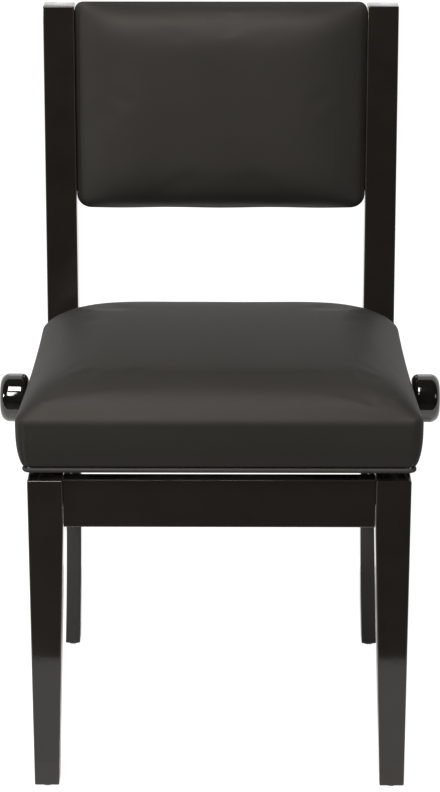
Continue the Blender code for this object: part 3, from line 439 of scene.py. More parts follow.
GLIDE_RADIUS, GLIDE_HEIGHT, GLIDE_ROUND = 0.0075, 0.004, 0.0012
GLIDE_EDGE, GLIDE_MIDDLE = 0.0005, 0.001
glide_profile = np.concatenate([
    [(GLIDE_MIDDLE, 0.0)], arc((GLIDE_RADIUS - GLIDE_ROUND, GLIDE_ROUND), GLIDE_ROUND, -90, 0, 5),
    arc((GLIDE_RADIUS - GLIDE_EDGE, GLIDE_HEIGHT - GLIDE_EDGE), GLIDE_EDGE, 0, 90, 3),
    [(GLIDE_MIDDLE, GLIDE_HEIGHT)]])
rear_foot_x = POST_INNER + FOOT_SPLAY + FOOT_WIDTH / 2
rear_foot_y = Y_POST + FOOT_RAKE + FOOT_DEPTH / 2
for word, side in SIDES:
    for end, x, y in (("front", HALF_WIDTH - LEG_FOOT / 2, Y_FRONT + LEG_FOOT / 2),
                      ("rear", rear_foot_x, rear_foot_y)):
        points = turned(glide_profile, 40) + (side * x, y, 0.0)
        piece(f"glide_{end}_{word}_disc", points, closed_ends(points), nylon, "frame", "black_nylon",
              f"glide_{end}_{word}")


# Corner blocks and cleats: beech, sawn to shape and stained black as all the inner woodwork is, glued
# and screwed into the corners and along the side aprons. The cleats carry the lift.
def dress(material, *names):
    """Give CAD nodes a finish of their own."""
    for name in names:
        nodes[name].material_slots[0].material = material


# Black-stained beech: a dull brown-black, thinner on the growth bands along the board, with the short
# flecks of its rays, about 1 mm wide and 4 mm long, that took more of the stain.
def beech_along(axis):
    """Beech whose grain runs along one axis: 0 across the chair, 1 front to back."""
    material, tree, shader = finish(f"black_stained_beech_{'xy'[axis]}", "#231d19", 0.6, IOR=1.5)
    stretched = lambda share: [share if place == axis else 1.0 for place in range(3)]
    growth = noise(tree, 6.0, stretched(16.0), Detail=4.0)
    ray = noise(tree, 1.0, stretched(4.0), Detail=1.0)
    fleck = add(tree, "ShaderNodeMapRange", {"Value": ray, "From Min": 0.60, "From Max": 0.70}).outputs[0]
    wood = between(tree, growth, "#1a1613", "#302822")
    tree.links.new(between(tree, fleck, wood, "#120f0d"), shader.inputs["Base Color"])
    tree.links.new(between(tree, growth, 0.52, 0.68), shader.inputs["Roughness"])
    raise_by(tree, shader, growth, 0.00012)
    return material


beech_x, beech_y = beech_along(0), beech_along(1)
dress(beech_x, *[f"corner_block_{end}_{word}" for end, _ in ENDS for word, _ in SIDES])
dress(beech_y, "lift_cleat_left", "lift_cleat_right")


# Zinc-plated screws: pan heads with a cross recess, pressed from wire. They hold the corner blocks in
# the frame, the brackets on the strips and under the seat, and the strips on the cleats.
SCREW_RADIUS, DOME, SPAN, HEAD_MIDDLE, ASLANT = 0.0032, 0.55, 0.93, 0.02, (0.36, 0.48, 0.8)
SLOT_HALF, SLOT_WALL, SLOT_REACH, SLOT_END, SLOT_DEPTH = 0.17, 0.06, 0.6, 0.1, 0.3


def screw_head(name, place, up, body):
    """A pan head: over (r, a) a dome, DOME sqrt(1 - (SPAN r)^2) high, less two crossed slots.

    Lengths are shares of its radius; a slot's walls and ends slope.
    """
    up = np.array(up, float) / np.linalg.norm(up)
    e1 = np.cross(up, ASLANT)
    e1 /= np.linalg.norm(e1)
    e2 = np.cross(up, e1)
    angle = np.linspace(0.0, math.tau, 48, endpoint=False)
    r = np.concatenate([[HEAD_MIDDLE, 1.0], np.linspace(1.0, HEAD_MIDDLE, 16)])[:, None]
    x, y = r * np.cos(angle), r * np.sin(angle)
    slot = lambda p, q: (np.clip((SLOT_HALF - abs(p)) / SLOT_WALL, 0, 1)
                         * np.clip((SLOT_REACH - abs(q)) / SLOT_END, 0, 1))
    height = DOME * np.sqrt(1 - (SPAN * r) ** 2) - SLOT_DEPTH * np.maximum(slot(x, y), slot(y, x))
    height[:2] = 0.0
    shape = x[..., None] * e1 + y[..., None] * e2 + height[..., None] * up
    points = np.array(place) + SCREW_RADIUS * shape
    piece(name, points, closed_ends(points), zinc, body, "zinc_plated_steel")


# Zinc plate, blue passivated: a cool grey metal with cloudy drifts in its shine and a faint tooth.
zinc, tree, shader = finish("blue_passivated_zinc", "#b2b4b4", 0.36, Metallic=1.0)
drift = noise(tree, 14.0, Detail=4.0, Roughness=0.6)
vary(tree, shader, drift, ("#9fa2a4", "#c3c2bb"), (0.28, 0.46))
raise_by(tree, shader, noise(tree, 0.8, Detail=2.0), 0.00003)

BLOCK_REACH, BLOCK_NOSE, BLOCK_MIDDLE = 0.036, 0.008, 0.359
wall_x, wall_front, wall_rear = HALF_WIDTH - SETBACK - THICK - BUTT, apron_y[1] + BUTT, Y_POST - BUTT
rear_mid = (wall_x - (BLOCK_REACH + BLOCK_NOSE) / 2, wall_rear - (BLOCK_REACH + BLOCK_NOSE) / 2)
front_a = (half_front - BLOCK_REACH, wall_front + BLOCK_NOSE)
front_b = (wall_x - BLOCK_NOSE, Y_FRONT + LEG_DEPTH + BUTT + BLOCK_REACH)
front_mid = ((front_a[0] + front_b[0]) / 2, (front_a[1] + front_b[1]) / 2)
front_out = (front_a[1] - front_b[1], front_b[0] - front_a[0])
for word, side in SIDES:
    screw_head(f"block_screw_rear_{word}", (side * rear_mid[0], rear_mid[1], BLOCK_MIDDLE),
               (-side, -1, 0), "frame")
    screw_head(f"block_screw_front_{word}", (side * front_mid[0], front_mid[1], BLOCK_MIDDLE),
               (side * front_out[0], front_out[1], 0), "frame")


# Scissor lift: two strips across the cleats, bent brackets with riveted pins, four flat arms with round
# ends, two cross rods, the trunnion that the spindle drives, and the spindle's collars. The flat parts
# are pressed and, like the collars, zinc plated; the pins, rods and trunnion are ground bright.
LUG, LUG_FOOT, CLEAT_WIDTH = 0.003, 0.012, 0.020
ground, tree, shader = finish("ground_bright_steel", "#c2c2c0", 0.22, Metallic=1.0)
lines = noise(tree, 0.5, (1.0, 30.0, 1.0), Detail=3.0)
vary(tree, shader, lines, ("#aeafae", "#d0d0cd"), (0.16, 0.32))
raise_by(tree, shader, lines, 0.00001)
pressed = ("lift_strip", "lower_bracket", "upper_bracket", "outer_arm", "inner_arm")
for word, side in ENDS:
    dress(zinc, *[f"{kind}_{word}" for kind in pressed])
    dress(ground, f"lower_pivot_pin_{word}", f"upper_pivot_pin_{word}")
    low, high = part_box(f"lower_bracket_{word}")
    foot_y = low[1] + LUG_FOOT / 2 if side < 0 else high[1] - LUG_FOOT / 2
    screw_head(f"lower_bracket_screw_{word}", ((low[0] + high[0]) / 2, foot_y, low[2] + LUG),
               (0, 0, 1), "frame")
    low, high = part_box(f"upper_bracket_{word}")
    foot_y = high[1] - LUG_FOOT / 2 if side < 0 else low[1] + LUG_FOOT / 2
    screw_head(f"upper_bracket_screw_{word}", ((low[0] + high[0]) / 2, foot_y, high[2] - LUG),
               (0, 0, -1), "seat")
    low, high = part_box(f"lift_strip_{word}")
    for hand, edge in zip(("left", "right"), (low[0] + CLEAT_WIDTH / 2, high[0] - CLEAT_WIDTH / 2)):
        screw_head(f"strip_screw_{word}_{hand}", (edge, (low[1] + high[1]) / 2, high[2]),
                   (0, 0, 1), "frame")
dress(ground, "centre_rod", "slide_rod", "trunnion")
dress(zinc, "spindle_collar_left", "spindle_collar_right")


# Bushes: flanged bearings of sintered bronze, pressed into the seat's side rails from inside. The
# spindle's plain journals turn in them.
bronze, tree, shader = finish("sintered_bronze", "#a98248", 0.42, Metallic=1.0)
pores = pattern(tree, "ShaderNodeTexVoronoi", 0.6, Randomness=1.0).outputs["Distance"]
vary(tree, shader, pores, ("#6e5026", "#b98f53"), (0.55, 0.36))
raise_by(tree, shader, pores, 0.00006)
dress(bronze, "spindle_bush_left", "spindle_bush_right")


# Spindle: a steel bar across the seat with a rolled trapezoidal thread, 3 mm to a turn, between plain
# journals. It screws through the trunnion, so turning a knob opens or shuts the scissor.
SEAT_Y, SPINDLE_Z, SPINDLE_RADIUS, SPINDLE_HALF = -0.0315, 0.4265, 0.0045, 0.2427
PITCH, THREAD_HALF, THREAD_DEPTH, CHAMFER = 0.003, 0.165, 0.0009, 0.0006
GROOVE_HALF, FLANK = 0.34, 0.14
spindle_x = np.concatenate([
    [-SPINDLE_HALF, CHAMFER - SPINDLE_HALF], np.linspace(-THREAD_HALF, THREAD_HALF, 1101),
    [SPINDLE_HALF - CHAMFER, SPINDLE_HALF]])[:, None]
spin = np.linspace(0.0, math.tau, 20, endpoint=False)
# Screw surface: the full radius on the crest, less a trapezoid's depth in the groove, once a pitch.
phase = (spindle_x / PITCH - spin / math.tau) % 1.0
groove = np.clip((GROOVE_HALF - np.abs(phase - 0.5)) / FLANK, 0.0, 1.0)
inside = np.clip((THREAD_HALF - np.abs(spindle_x)) / PITCH, 0.0, 1.0)
radius = SPINDLE_RADIUS - THREAD_DEPTH * groove * inside
radius[[0, -1]] -= CHAMFER
points = np.stack([spindle_x + 0 * spin, SEAT_Y + radius * np.cos(spin),
                   SPINDLE_Z + radius * np.sin(spin)], axis=-1)
piece("spindle_screw", points, closed_ends(points), ground, "spindle", "bright_steel", "spindle_shaft")


# Seat box: four beech rails, butted and glued, under a board of birch plywood that the cushion is built
# on, all stained black. They show from below and in the slit over the apron.
dress(beech_x, "seat_rail_front", "seat_rail_rear")
dress(beech_y, "seat_rail_left", "seat_rail_right")
# Birch plywood face, stained: soft cathedral grain in brown-black, and a few pin knots that stay paler.
birch, tree, shader = finish("black_stained_birch_plywood", "#241f1b", 0.62, IOR=1.5)
veneer = noise(tree, 16.0, (12.0, 1.0, 1.0), Detail=5.0, Distortion=0.6)
knot = pattern(tree, "ShaderNodeTexVoronoi", 70.0, Randomness=1.0).outputs["Distance"]
pin_knot = add(tree, "ShaderNodeMapRange", {"Value": knot, "From Min": 0.05, "From Max": 0.02}).outputs[0]
sheet = between(tree, veneer, "#1b1714", "#302923")
tree.links.new(between(tree, pin_knot, sheet, "#46392e"), shader.inputs["Base Color"])
tree.links.new(between(tree, veneer, 0.54, 0.7), shader.inputs["Roughness"])
raise_by(tree, shader, veneer, 0.00008)
dress(birch, "seat_board")


# Seat cushion: a fitted leatherette cover over foam on the seat box. The top rolls over into bands
# that are drawn in to the welt; a felled seam joins the bands just round each corner.
SEAT_HALF_X, SEAT_HALF_Y = 0.230, 0.1885
SEAT_TAPER, SEAT_WAIST, SEAT_CORNER, LEAST_CORNER = 0.0096, 0.0032, 0.013, 0.006
COVER_BOTTOM, DRAWN_IN, DRAW_POWER = 0.4059, 0.008, 3.3
CUSHION_TOP, CROWN, ROLL = 0.46705, 0.037, 0.014
ROLL_END = math.radians(35)
BOX_HALF_X, BOX_HALF_Y, BOX_CORNER, BOARD_TOP, FIT = 0.207, 0.1751, 0.001, 0.44995, 0.0003
HEM_HEIGHT, HEM_TURN, TUCK, TUCK_FADE = 0.001, 0.0035, 0.0022, 0.03
SEAM_ANGLE, CROWDING = 20.0, 0.6


def at_level(plan, level):
    """Plan points with one third coordinate."""
    return np.concatenate([plan, np.full((len(plan), 1), level)], axis=-1)


def runs(half_p, half_q, radius, seam, straight, curved):
    """A rectangle with round corners as four runs, seam to seam, counter-clockwise from the near side.

    Each run is the end of one corner's arc, a straight side and the start of the next arc. radius is
    one for all corners or one each, near left first; seam is the angle, in degrees, from the near or
    far side's middle direction to where the runs meet. Points on a straight side crowd towards its
    ends: share = t - CROWDING sin(2 pi t) / (2 pi).
    """
    spread = ((270 - seam, 270, 270 + seam), (270 + seam, 360, 450 - seam),
              (90 - seam, 90, 90 + seam), (90 + seam, 180, 270 - seam))
    centres = np.array([(-1, -1), (1, -1), (1, 1), (-1, 1)])
    radii = np.broadcast_to(radius, 4)
    middles = centres * (np.array([half_p, half_q]) - radii[:, None])
    points = []
    for run, (start, middle, end) in enumerate(spread):
        after = (run + 1) % 4
        near = arc(middles[run], radii[run], start, middle, curved[run % 2])
        next_arc = arc(middles[after], radii[after], middle, end, curved[run % 2])
        share = np.linspace(0.0, 1.0, straight[run % 2] + 1)[1:-1, None]
        share = share - CROWDING * np.sin(math.tau * share) / math.tau
        points += [near, near[-1] * (1 - share) + next_arc[0] * share, next_arc[:-1]]
    return np.concatenate(points)


def filled(rim, across, along):
    """A patch inside a closed rim: opposite runs blended both ways, less the four corners' blend."""
    near, right = rim[: across + 1], rim[across : across + along + 1]
    far = rim[across + along : 2 * across + along + 1][::-1]
    left = np.concatenate([rim[2 * across + along :], rim[:1]])[::-1]
    a = np.linspace(0.0, 1.0, across + 1)[:, None, None]
    b = np.linspace(0.0, 1.0, along + 1)[None, :, None]
    corners = (1 - a) * ((1 - b) * near[0] + b * far[0]) + a * ((1 - b) * near[-1] + b * far[-1])
    return (1 - b) * near[:, None] + b * far[:, None] + (1 - a) * left[None] + a * right[None] - corners


def cushion_mesh(rings, across, along, crown):
    """Points and faces of a cushion, and how many points a ring has.

    The rings run from its hidden face to the roll. The first is the rim of the hidden patch, the last
    that of the top patch. crown gives a top point's height from its plan place, less what it gives on
    the rim, so that the rim stays level.
    """
    rings = np.array(rings)
    between_rings, count = rings[1:-1], rings.shape[1]
    hidden, top = filled(rings[0], across, along), filled(rings[-1], across, along)
    rim = np.concatenate([rings[-1][:, :2], crown(rings[-1][:, 0], rings[-1][:, 1])[:, None]], axis=-1)
    top[..., 2] += crown(top[..., 0], top[..., 1]) - filled(rim, across, along)[..., 2]
    patch = np.arange((across + 1) * (along + 1)).reshape(across + 1, along + 1)
    low = len(between_rings) * count + patch
    high = low + low.size
    rim_of = lambda grid: np.concatenate([grid[:-1, 0], grid[-1, :-1], grid[:0:-1, -1], grid[0, :0:-1]])
    quads_of = lambda grid: np.stack(
        [grid[:-1, :-1], grid[1:, :-1], grid[1:, 1:], grid[:-1, 1:]], axis=-1).reshape(-1, 4)
    bridge = lambda one, two: np.stack([one, np.roll(one, -1), np.roll(two, -1), two], axis=-1)
    first, last = np.arange(count), (len(between_rings) - 1) * count + np.arange(count)
    faces = [grid_faces(len(between_rings), count), bridge(rim_of(low), first),
             bridge(last, rim_of(high)), quads_of(low)[:, ::-1], quads_of(high)]
    points = [between_rings.reshape(-1, 3), hidden.reshape(-1, 3), top.reshape(-1, 3)]
    return np.concatenate(points), np.concatenate(faces), count


SIM_FRAMES, PRESSURE, ROLL_HOLD = 20, 4.0, 0.5


def coordinates(mesh):
    """A mesh's points as an array."""
    flat = np.zeros(len(mesh.vertices) * 3)
    mesh.vertices.foreach_get("co", flat)
    return flat.reshape(-1, 3)


def swell(obj, held, most):
    """Blow the cover out as its foam does: cloth under pressure, held by weight.

    No point moves past most: a move of any length becomes most tanh(length / most).
    """
    start = coordinates(obj.data)
    group = obj.vertex_groups.new(name="held")
    for weight in np.unique(held):
        group.add(np.flatnonzero(held == weight).tolist(), float(weight), "REPLACE")
    cloth = obj.modifiers.new("cover", "CLOTH")
    cloth.settings.quality = 6
    cloth.settings.tension_stiffness = 40.0
    cloth.settings.compression_stiffness = 40.0
    cloth.settings.shear_stiffness = 20.0
    cloth.settings.bending_stiffness = 10.0
    cloth.settings.use_pressure = True
    cloth.settings.uniform_pressure_force = PRESSURE
    cloth.settings.vertex_group_mass = group.name
    cloth.settings.effector_weights.gravity = 0.0
    cloth.point_cache.frame_end = SIM_FRAMES
    for step in range(1, SIM_FRAMES + 1):
        scene.frame_set(step)
    blown = obj.evaluated_get(bpy.context.evaluated_depsgraph_get()).data
    moved = coordinates(blown) - start
    length = np.linalg.norm(moved, axis=1, keepdims=True)
    moved *= most * np.tanh(length / most) / np.maximum(length, 1e-9)
    obj.modifiers.remove(cloth)
    obj.vertex_groups.remove(group)
    obj.data.vertices.foreach_set("co", (start + moved).ravel())
    scene.frame_set(1)


def subdivide(obj):
    """Smooth a cover between its points, alike in view and render."""
    surface = obj.modifiers.new("smooth_surface", "SUBSURF")
    surface.levels = surface.render_levels = 1


# PVC leatherette, calendered and embossed: satin black-brown with a fine pebble grain, which is
# really about 0.7 mm and is drawn at 1.4 mm so that it shows, and a low, broad gloss.
def leather_finish(name, deep, pale):
    """Embossed leatherette between two tones."""
    material, tree, shader = finish(name, deep, 0.6, IOR=1.5, Specular_IOR_Level=0.18)
    cloudy = noise(tree, 90.0, Detail=3.0)
    tree.links.new(between(tree, cloudy, deep, pale), shader.inputs["Base Color"])
    pebble = pattern(tree, "ShaderNodeTexVoronoi", 1.4, Randomness=0.9).outputs["Distance"]
    tree.links.new(between(tree, pebble, 0.54, 0.64), shader.inputs["Roughness"])
    raise_by(tree, shader, pebble, 0.00008, 0.5)
    return material


leatherette = leather_finish("embossed_leatherette", "#201f1d", "#262523")

ACROSS, ALONG = (88, 70), (2, 6)
across_steps, along_steps = ACROSS[0] + 2 * ALONG[0], ACROSS[1] + 2 * ALONG[1]


def taper(y):
    """The seat's width at a depth from its middle, as a share of the front width.

    It narrows evenly to the rear, less a parabola that pulls the sides in between the corners.
    """
    rearward, pulled_in = (y + SEAT_HALF_Y) / (2 * SEAT_HALF_Y), 1 - (y / SEAT_HALF_Y) ** 2
    return 1 - (SEAT_TAPER * rearward + SEAT_WAIST * pulled_in) / SEAT_HALF_X


def seat_ring(inset, height, rear_corner):
    """The seat's plan outline drawn in by inset, at one height and with one rear corner radius."""
    corners = np.array([SEAT_CORNER, SEAT_CORNER, rear_corner, rear_corner])
    corner = np.maximum(corners - inset, LEAST_CORNER)
    plan = runs(SEAT_HALF_X - inset, SEAT_HALF_Y - inset, corner, SEAM_ANGLE, ACROSS, ALONG)
    plan[:, 0] *= taper(plan[:, 1])
    return at_level(plan, height)


def pocket_ring(height):
    """The hollow that fits over the seat box."""
    plan = runs(BOX_HALF_X + FIT, BOX_HALF_Y + FIT, BOX_CORNER, SEAM_ANGLE, ACROSS, ALONG)
    return at_level(plan, height)


SWELL, REAR_CORNER = 0.0012, 0.040
band_top = CUSHION_TOP - ROLL * math.sin(ROLL_END)
roll_inset = ROLL * (1 - math.cos(ROLL_END))
top_half_x, top_half_y = SEAT_HALF_X - roll_inset, SEAT_HALF_Y - roll_inset


def seat_crown(x, y):
    """Height of the top: (1 - u^n)(1 - v^9) of the crown over the roll, u and v across and along.

    n grows from 6 at the rear, where the cover is drawn down, to 12 at the front.
    """
    u, v = x / (top_half_x * taper(y)), np.clip(y / top_half_y, -1.0, 1.0)
    fullness = 6 + 6 * ((1 - v) / 2) ** 1.5
    return CUSHION_TOP + (CROWN - SWELL / 2) * (1 - np.abs(u) ** fullness) * (1 - np.abs(v) ** 9)


band = np.linspace(0.0, 1.0, 13) ** 1.5
roll_angle = np.linspace(0.0, ROLL_END, 6)[1:]
rings = [pocket_ring(height) for height in (BOARD_TOP + FIT, COVER_BOTTOM + HEM_HEIGHT, COVER_BOTTOM)]
rings += [seat_ring(DRAWN_IN + HEM_TURN, COVER_BOTTOM, SEAT_CORNER)]
drawn = DRAWN_IN * (1 - band) ** DRAW_POWER + TUCK * np.exp(-band / TUCK_FADE)
rings += [seat_ring(inset, COVER_BOTTOM + (band_top - COVER_BOTTOM) * share,
                    SEAT_CORNER + (REAR_CORNER - SEAT_CORNER) * share)
          for share, inset in zip(band, drawn)]
rings += [seat_ring(ROLL * (1 - math.cos(turn)), band_top + ROLL * math.sin(turn), REAR_CORNER)
          for turn in roll_angle]
points, faces, columns = cushion_mesh(rings, across_steps, along_steps, seat_crown)
points[:, 1] += SEAT_Y
seat_cover = piece("seat_cushion_cover", points, faces, leatherette, "seat", "leatherette",
                   "seat_cushion")

hidden_rings = 3
patch_size = (across_steps + 1) * (along_steps + 1)
held = np.zeros(len(points))
held[: hidden_rings * columns] = 1.0
held[-2 * patch_size : -patch_size] = 1.0
held[hidden_rings * columns : (hidden_rings + len(band)) * columns] = 1.0
held[(hidden_rings + len(band)) * columns : -2 * patch_size] = ROLL_HOLD
swell(seat_cover, held, SWELL)


# Corner seams of the seat: the two bands of each corner are felled together, which leaves a furrow
# that grows shallower towards the roll.
SEAM_DEPTH, SEAM_FADE, SEAM_LEAST, SEAM_CREASE = 0.0013, 6.0, 0.3, 0.8
seam_columns = np.array([0, across_steps, across_steps + along_steps, 2 * across_steps + along_steps])
seam_rows = np.arange(hidden_rings, len(rings) - 2)
shape = coordinates(seat_cover.data)
seam_points = (seam_rows[:, None] * columns + seam_columns).ravel()
fade = np.clip(np.linspace(SEAM_FADE, 0.0, len(seam_rows)), SEAM_LEAST, 1.0)
fade = np.repeat(fade, len(seam_columns))
inward = shape[seam_points] * (-1, -1, 0) + (0, SEAT_Y, 0)
inward /= np.linalg.norm(inward, axis=1, keepdims=True)
shape[seam_points] += SEAM_DEPTH * fade[:, None] * inward
seat_cover.data.vertices.foreach_set("co", shape.ravel())
ends = np.zeros(len(seat_cover.data.edges) * 2, int)
seat_cover.data.edges.foreach_get("vertices", ends)
in_seam = np.isin(ends.reshape(-1, 2), seam_points).all(axis=1)
crease = seat_cover.data.attributes.new("crease_edge", "FLOAT", "EDGE")
crease.data.foreach_set("value", np.where(in_seam, SEAM_CREASE, 0.0))
subdivide(seat_cover)


# Thread of the seat's seams: a row of black stitches that holds each seam's allowance flat, beside it
# on the front and rear bands.
STITCH, STITCH_GAP, THREAD_RADIUS = 0.003, 0.0015, 0.0004


def stitches(path, out):
    """Short rounded threads along a path: centre + along u STITCH/2 + r(u) (cos a out + sin a across)."""
    steps = np.linalg.norm(np.diff(path, axis=0), axis=1)
    reach = np.concatenate([[0.0], np.cumsum(steps)])
    place = np.arange(STITCH_GAP, reach[-1] - STITCH, STITCH + STITCH_GAP) + STITCH / 2
    at = lambda where: np.stack([np.interp(where, reach, path[:, axis]) for axis in range(3)], axis=-1)
    along = at(place + STITCH / 2) - at(place - STITCH / 2)
    along /= np.linalg.norm(along, axis=1, keepdims=True)
    across = np.cross(along, np.broadcast_to(out, along.shape))
    across /= np.linalg.norm(across, axis=1, keepdims=True)
    out = np.cross(across, along)
    u = np.array([-1.0, -0.85, 0.0, 0.85, 1.0])
    width = THREAD_RADIUS * np.array([0.3, 0.8, 1.0, 0.8, 0.3])
    turn = np.linspace(0.0, math.tau, 6, endpoint=False)
    ring = np.cos(turn)[:, None] * out[:, None, None] + np.sin(turn)[:, None] * across[:, None, None]
    points = (at(place)[:, None, None] + along[:, None, None] * (u * STITCH / 2)[:, None, None]
              + width[:, None, None] * ring)
    one = closed_ends(points[0])
    starts = np.arange(len(points)) * len(u) * len(turn)
    faces = [[corner + start for corner in face] for start in starts for face in one]
    return points.reshape(-1, 3), faces


# Bonded polyester thread: black, slightly shiny, its twist drawn as fine bands.
thread, tree, shader = finish("bonded_polyester_thread", "#1c1b1a", 0.4, Specular_IOR_Level=0.3)
twist = pattern(tree, "ShaderNodeTexWave", 0.8, Distortion=1.0).outputs["Fac"]
tree.links.new(between(tree, twist, "#141313", "#2a2826"), shader.inputs["Base Color"])
raise_by(tree, shader, twist, 0.0001)

shape = coordinates(seat_cover.data)
beside = 2
rows_up = np.arange(hidden_rings + 1, hidden_rings + 1 + len(band))
for name, column, facing in (("front_left", beside, -1), ("front_right", across_steps - beside, -1),
                             ("rear_right", across_steps + along_steps + beside, 1),
                             ("rear_left", 2 * across_steps + along_steps - beside, 1)):
    points, faces = stitches(shape[rows_up * columns + column], (0.0, facing, 0.0))
    piece(f"seat_stitches_{name}", points, faces, thread, "seat", "leatherette")


# Welt: a cord wrapped in a bias strip of the same leatherette, sewn along the lower edge of the cover.
# Its leatherette is painted a shade lighter than the cover's, a painted highlight where its round top
# catches the light.
SEAT_BOTTOM, WELT_RADIUS, WELT_PROUD = 0.4004, 0.0029, 0.0015


def tube(path, radius, up, steps=14):
    """A round section carried round a closed path across up: path + radius (cos a side + sin a up)."""
    side = np.cross(up, np.roll(path, -1, axis=0) - np.roll(path, 1, axis=0))
    side /= np.linalg.norm(side, axis=1, keepdims=True)
    angle = np.linspace(0.0, math.tau, steps, endpoint=False)
    ring = np.cos(angle)[:, None] * side[:, None, :] + np.sin(angle)[:, None] * np.array(up)
    points = path[:, None] + radius * ring
    return points, grid_faces(len(path) + 1, steps) % (len(path) * steps)


# The welt's leatherette, painted lighter than the cover's as a painted highlight.
painted_lighter_welt = leather_finish("painted_lighter_welt_leatherette", "#292825", "#32312e")
cord = seat_ring(DRAWN_IN + WELT_RADIUS - WELT_PROUD, SEAT_BOTTOM + WELT_RADIUS, SEAT_CORNER)
points, faces = tube(cord + (0.0, SEAT_Y, 0.0), WELT_RADIUS, (0.0, 0.0, 1.0))
piece("seat_welt", points, faces, painted_lighter_welt, "seat", "leatherette_piping", "seat_piping")


# Knobs: round-edged hand wheels of black phenolic resin, compression moulded and polished, each fixed
# on an end of the spindle.
KNOB_RADIUS, KNOB_INNER, KNOB_OUTER = 0.02875, 0.2275, 0.260
KNOB_ROUND, KNOB_BACK_ROUND, KNOB_FLAT, KNOB_MIDDLE = 0.011, 0.008, 0.009, 0.0005
HUB_RADIUS, HUB_INNER, HUB_EDGE = 0.011, 0.225, 0.0005
phenolic, tree, shader = finish("polished_phenolic_resin", "#0d0d0c", 0.06, IOR=1.6)
swirl = noise(tree, 18.0, Detail=4.0, Distortion=1.2)
vary(tree, shader, swirl, ("#090908", "#141312"), (0.04, 0.10))
raise_by(tree, shader, noise(tree, 4.0), 0.00001)
knob_profile = np.concatenate([
    [(KNOB_MIDDLE, HUB_INNER)],
    arc((HUB_RADIUS - HUB_EDGE, HUB_INNER + HUB_EDGE), HUB_EDGE, -90, 0, 3), [(HUB_RADIUS, KNOB_INNER)],
    arc((KNOB_RADIUS - KNOB_BACK_ROUND, KNOB_INNER + KNOB_BACK_ROUND), KNOB_BACK_ROUND, -90, 0, 12),
    arc((KNOB_RADIUS - KNOB_ROUND, KNOB_OUTER - KNOB_ROUND), KNOB_ROUND, 0, 90, 14),
    [(KNOB_FLAT, KNOB_OUTER), (KNOB_MIDDLE, KNOB_OUTER)]])
for word, side in SIDES:
    across, up, out = np.moveaxis(turned(knob_profile, 96), -1, 0)
    points = np.stack([side * out, SEAT_Y + across, SPINDLE_Z + side * up], axis=-1)
    piece(f"knob_{word}_moulding", points, closed_ends(points), phenolic, "spindle", "glossy_knob",
          f"knob_{word}")


# Back pad: foam on a plywood board, under a leatherette panel that rolls over at its edges and is
# sewn to a narrow band behind the roll. It stands between the posts and leans with them.
BACK_Y, BACK_MIDDLE, BACK_ANGLE = 0.196397, 0.7274, math.atan(POST_LEAN / (POST_TOP - LEAN_START))
POST_GAP = 0.0001
BACK_HALF_X, BACK_HALF_Z = POST_INNER - POST_GAP, 0.1278
PAD_EDGE, PAD_CROWN, PAD_ROLL, BOARD_INSET = 0.003, 0.031, 0.003, 0.006
PAD_HEM = ((0.004, FIT), (0.0018, FIT), (0.0010, 0.0004), (0.0004, 0.0005))
PAD_CORNERS, PAD_CORNER_ANGLE = np.array([0.017, 0.017, 0.0105, 0.0105]), 45.0
PAD_ROLL_END = math.radians(55)
PAD_STRAIGHT, PAD_CURVED = (76, 56), (4, 4)
pad_across, pad_along = PAD_STRAIGHT[0] + 2 * PAD_CURVED[0], PAD_STRAIGHT[1] + 2 * PAD_CURVED[1]


def on_back(points):
    """From the back's own axes (across, up, towards the sitter) to the chair's, turned by its lean."""
    x, up, depth = np.moveaxis(np.asarray(points), -1, 0)
    y = -depth * math.cos(BACK_ANGLE) + up * math.sin(BACK_ANGLE) + BACK_Y
    z = depth * math.sin(BACK_ANGLE) + up * math.cos(BACK_ANGLE) + BACK_MIDDLE
    return np.stack([x, y, z], axis=-1)


SLACK, SLACK_LENGTH, SLACK_FROM = 0.0008, 0.125, 0.8


def pad_ring(inset, depth):
    """The pad's outline drawn in by inset, at one depth; its lower edge sags in shallow waves."""
    plan = runs(BACK_HALF_X - inset, BACK_HALF_Z - inset, np.maximum(PAD_CORNERS - inset, BOARD_INSET),
                PAD_CORNER_ANGLE, PAD_STRAIGHT, PAD_CURVED)
    low = np.clip((-plan[:, 1] / BACK_HALF_Z - SLACK_FROM) / (1 - SLACK_FROM), 0.0, 1.0)
    plan[:, 1] -= SLACK * low * (np.cos(math.tau * plan[:, 0] / SLACK_LENGTH) - 1) / 2
    return at_level(plan, depth)


PAD_SWELL = 0.0012
pad_inset = PAD_ROLL * (1 - math.cos(PAD_ROLL_END))
pad_half_x, pad_half_z = BACK_HALF_X - pad_inset, BACK_HALF_Z - pad_inset


def pad_crown(x, up):
    """Depth of the front: (1 - u^6)(1 - v^9) of the crown over the roll, u across and v up."""
    u, v = np.clip(x / pad_half_x, -1, 1), np.clip(up / pad_half_z, -1, 1)
    return PAD_EDGE + (PAD_CROWN - PAD_SWELL) * (1 - np.abs(u) ** 6) * (1 - np.abs(v) ** 9)


roll_start = PAD_EDGE - PAD_ROLL * math.sin(PAD_ROLL_END)
pad_roll = np.linspace(0.0, PAD_ROLL_END, 9)
rings = [pad_ring(inset, depth) for inset, depth in PAD_HEM]
rings += [pad_ring(PAD_ROLL * (1 - math.cos(turn)), roll_start + PAD_ROLL * math.sin(turn))
          for turn in pad_roll]
points, faces, columns = cushion_mesh(rings, pad_across, pad_along, pad_crown)
pad_cover = piece("backrest_cushion_cover", on_back(points), faces, leatherette, "frame", "leatherette",
                  "backrest_cushion")
patch_size = (pad_across + 1) * (pad_along + 1)
held = np.zeros(len(points))
held[: -2 * patch_size] = ROLL_HOLD
held[: len(PAD_HEM) * columns] = 1.0
held[-2 * patch_size : -patch_size] = 1.0
swell(pad_cover, held, PAD_SWELL)

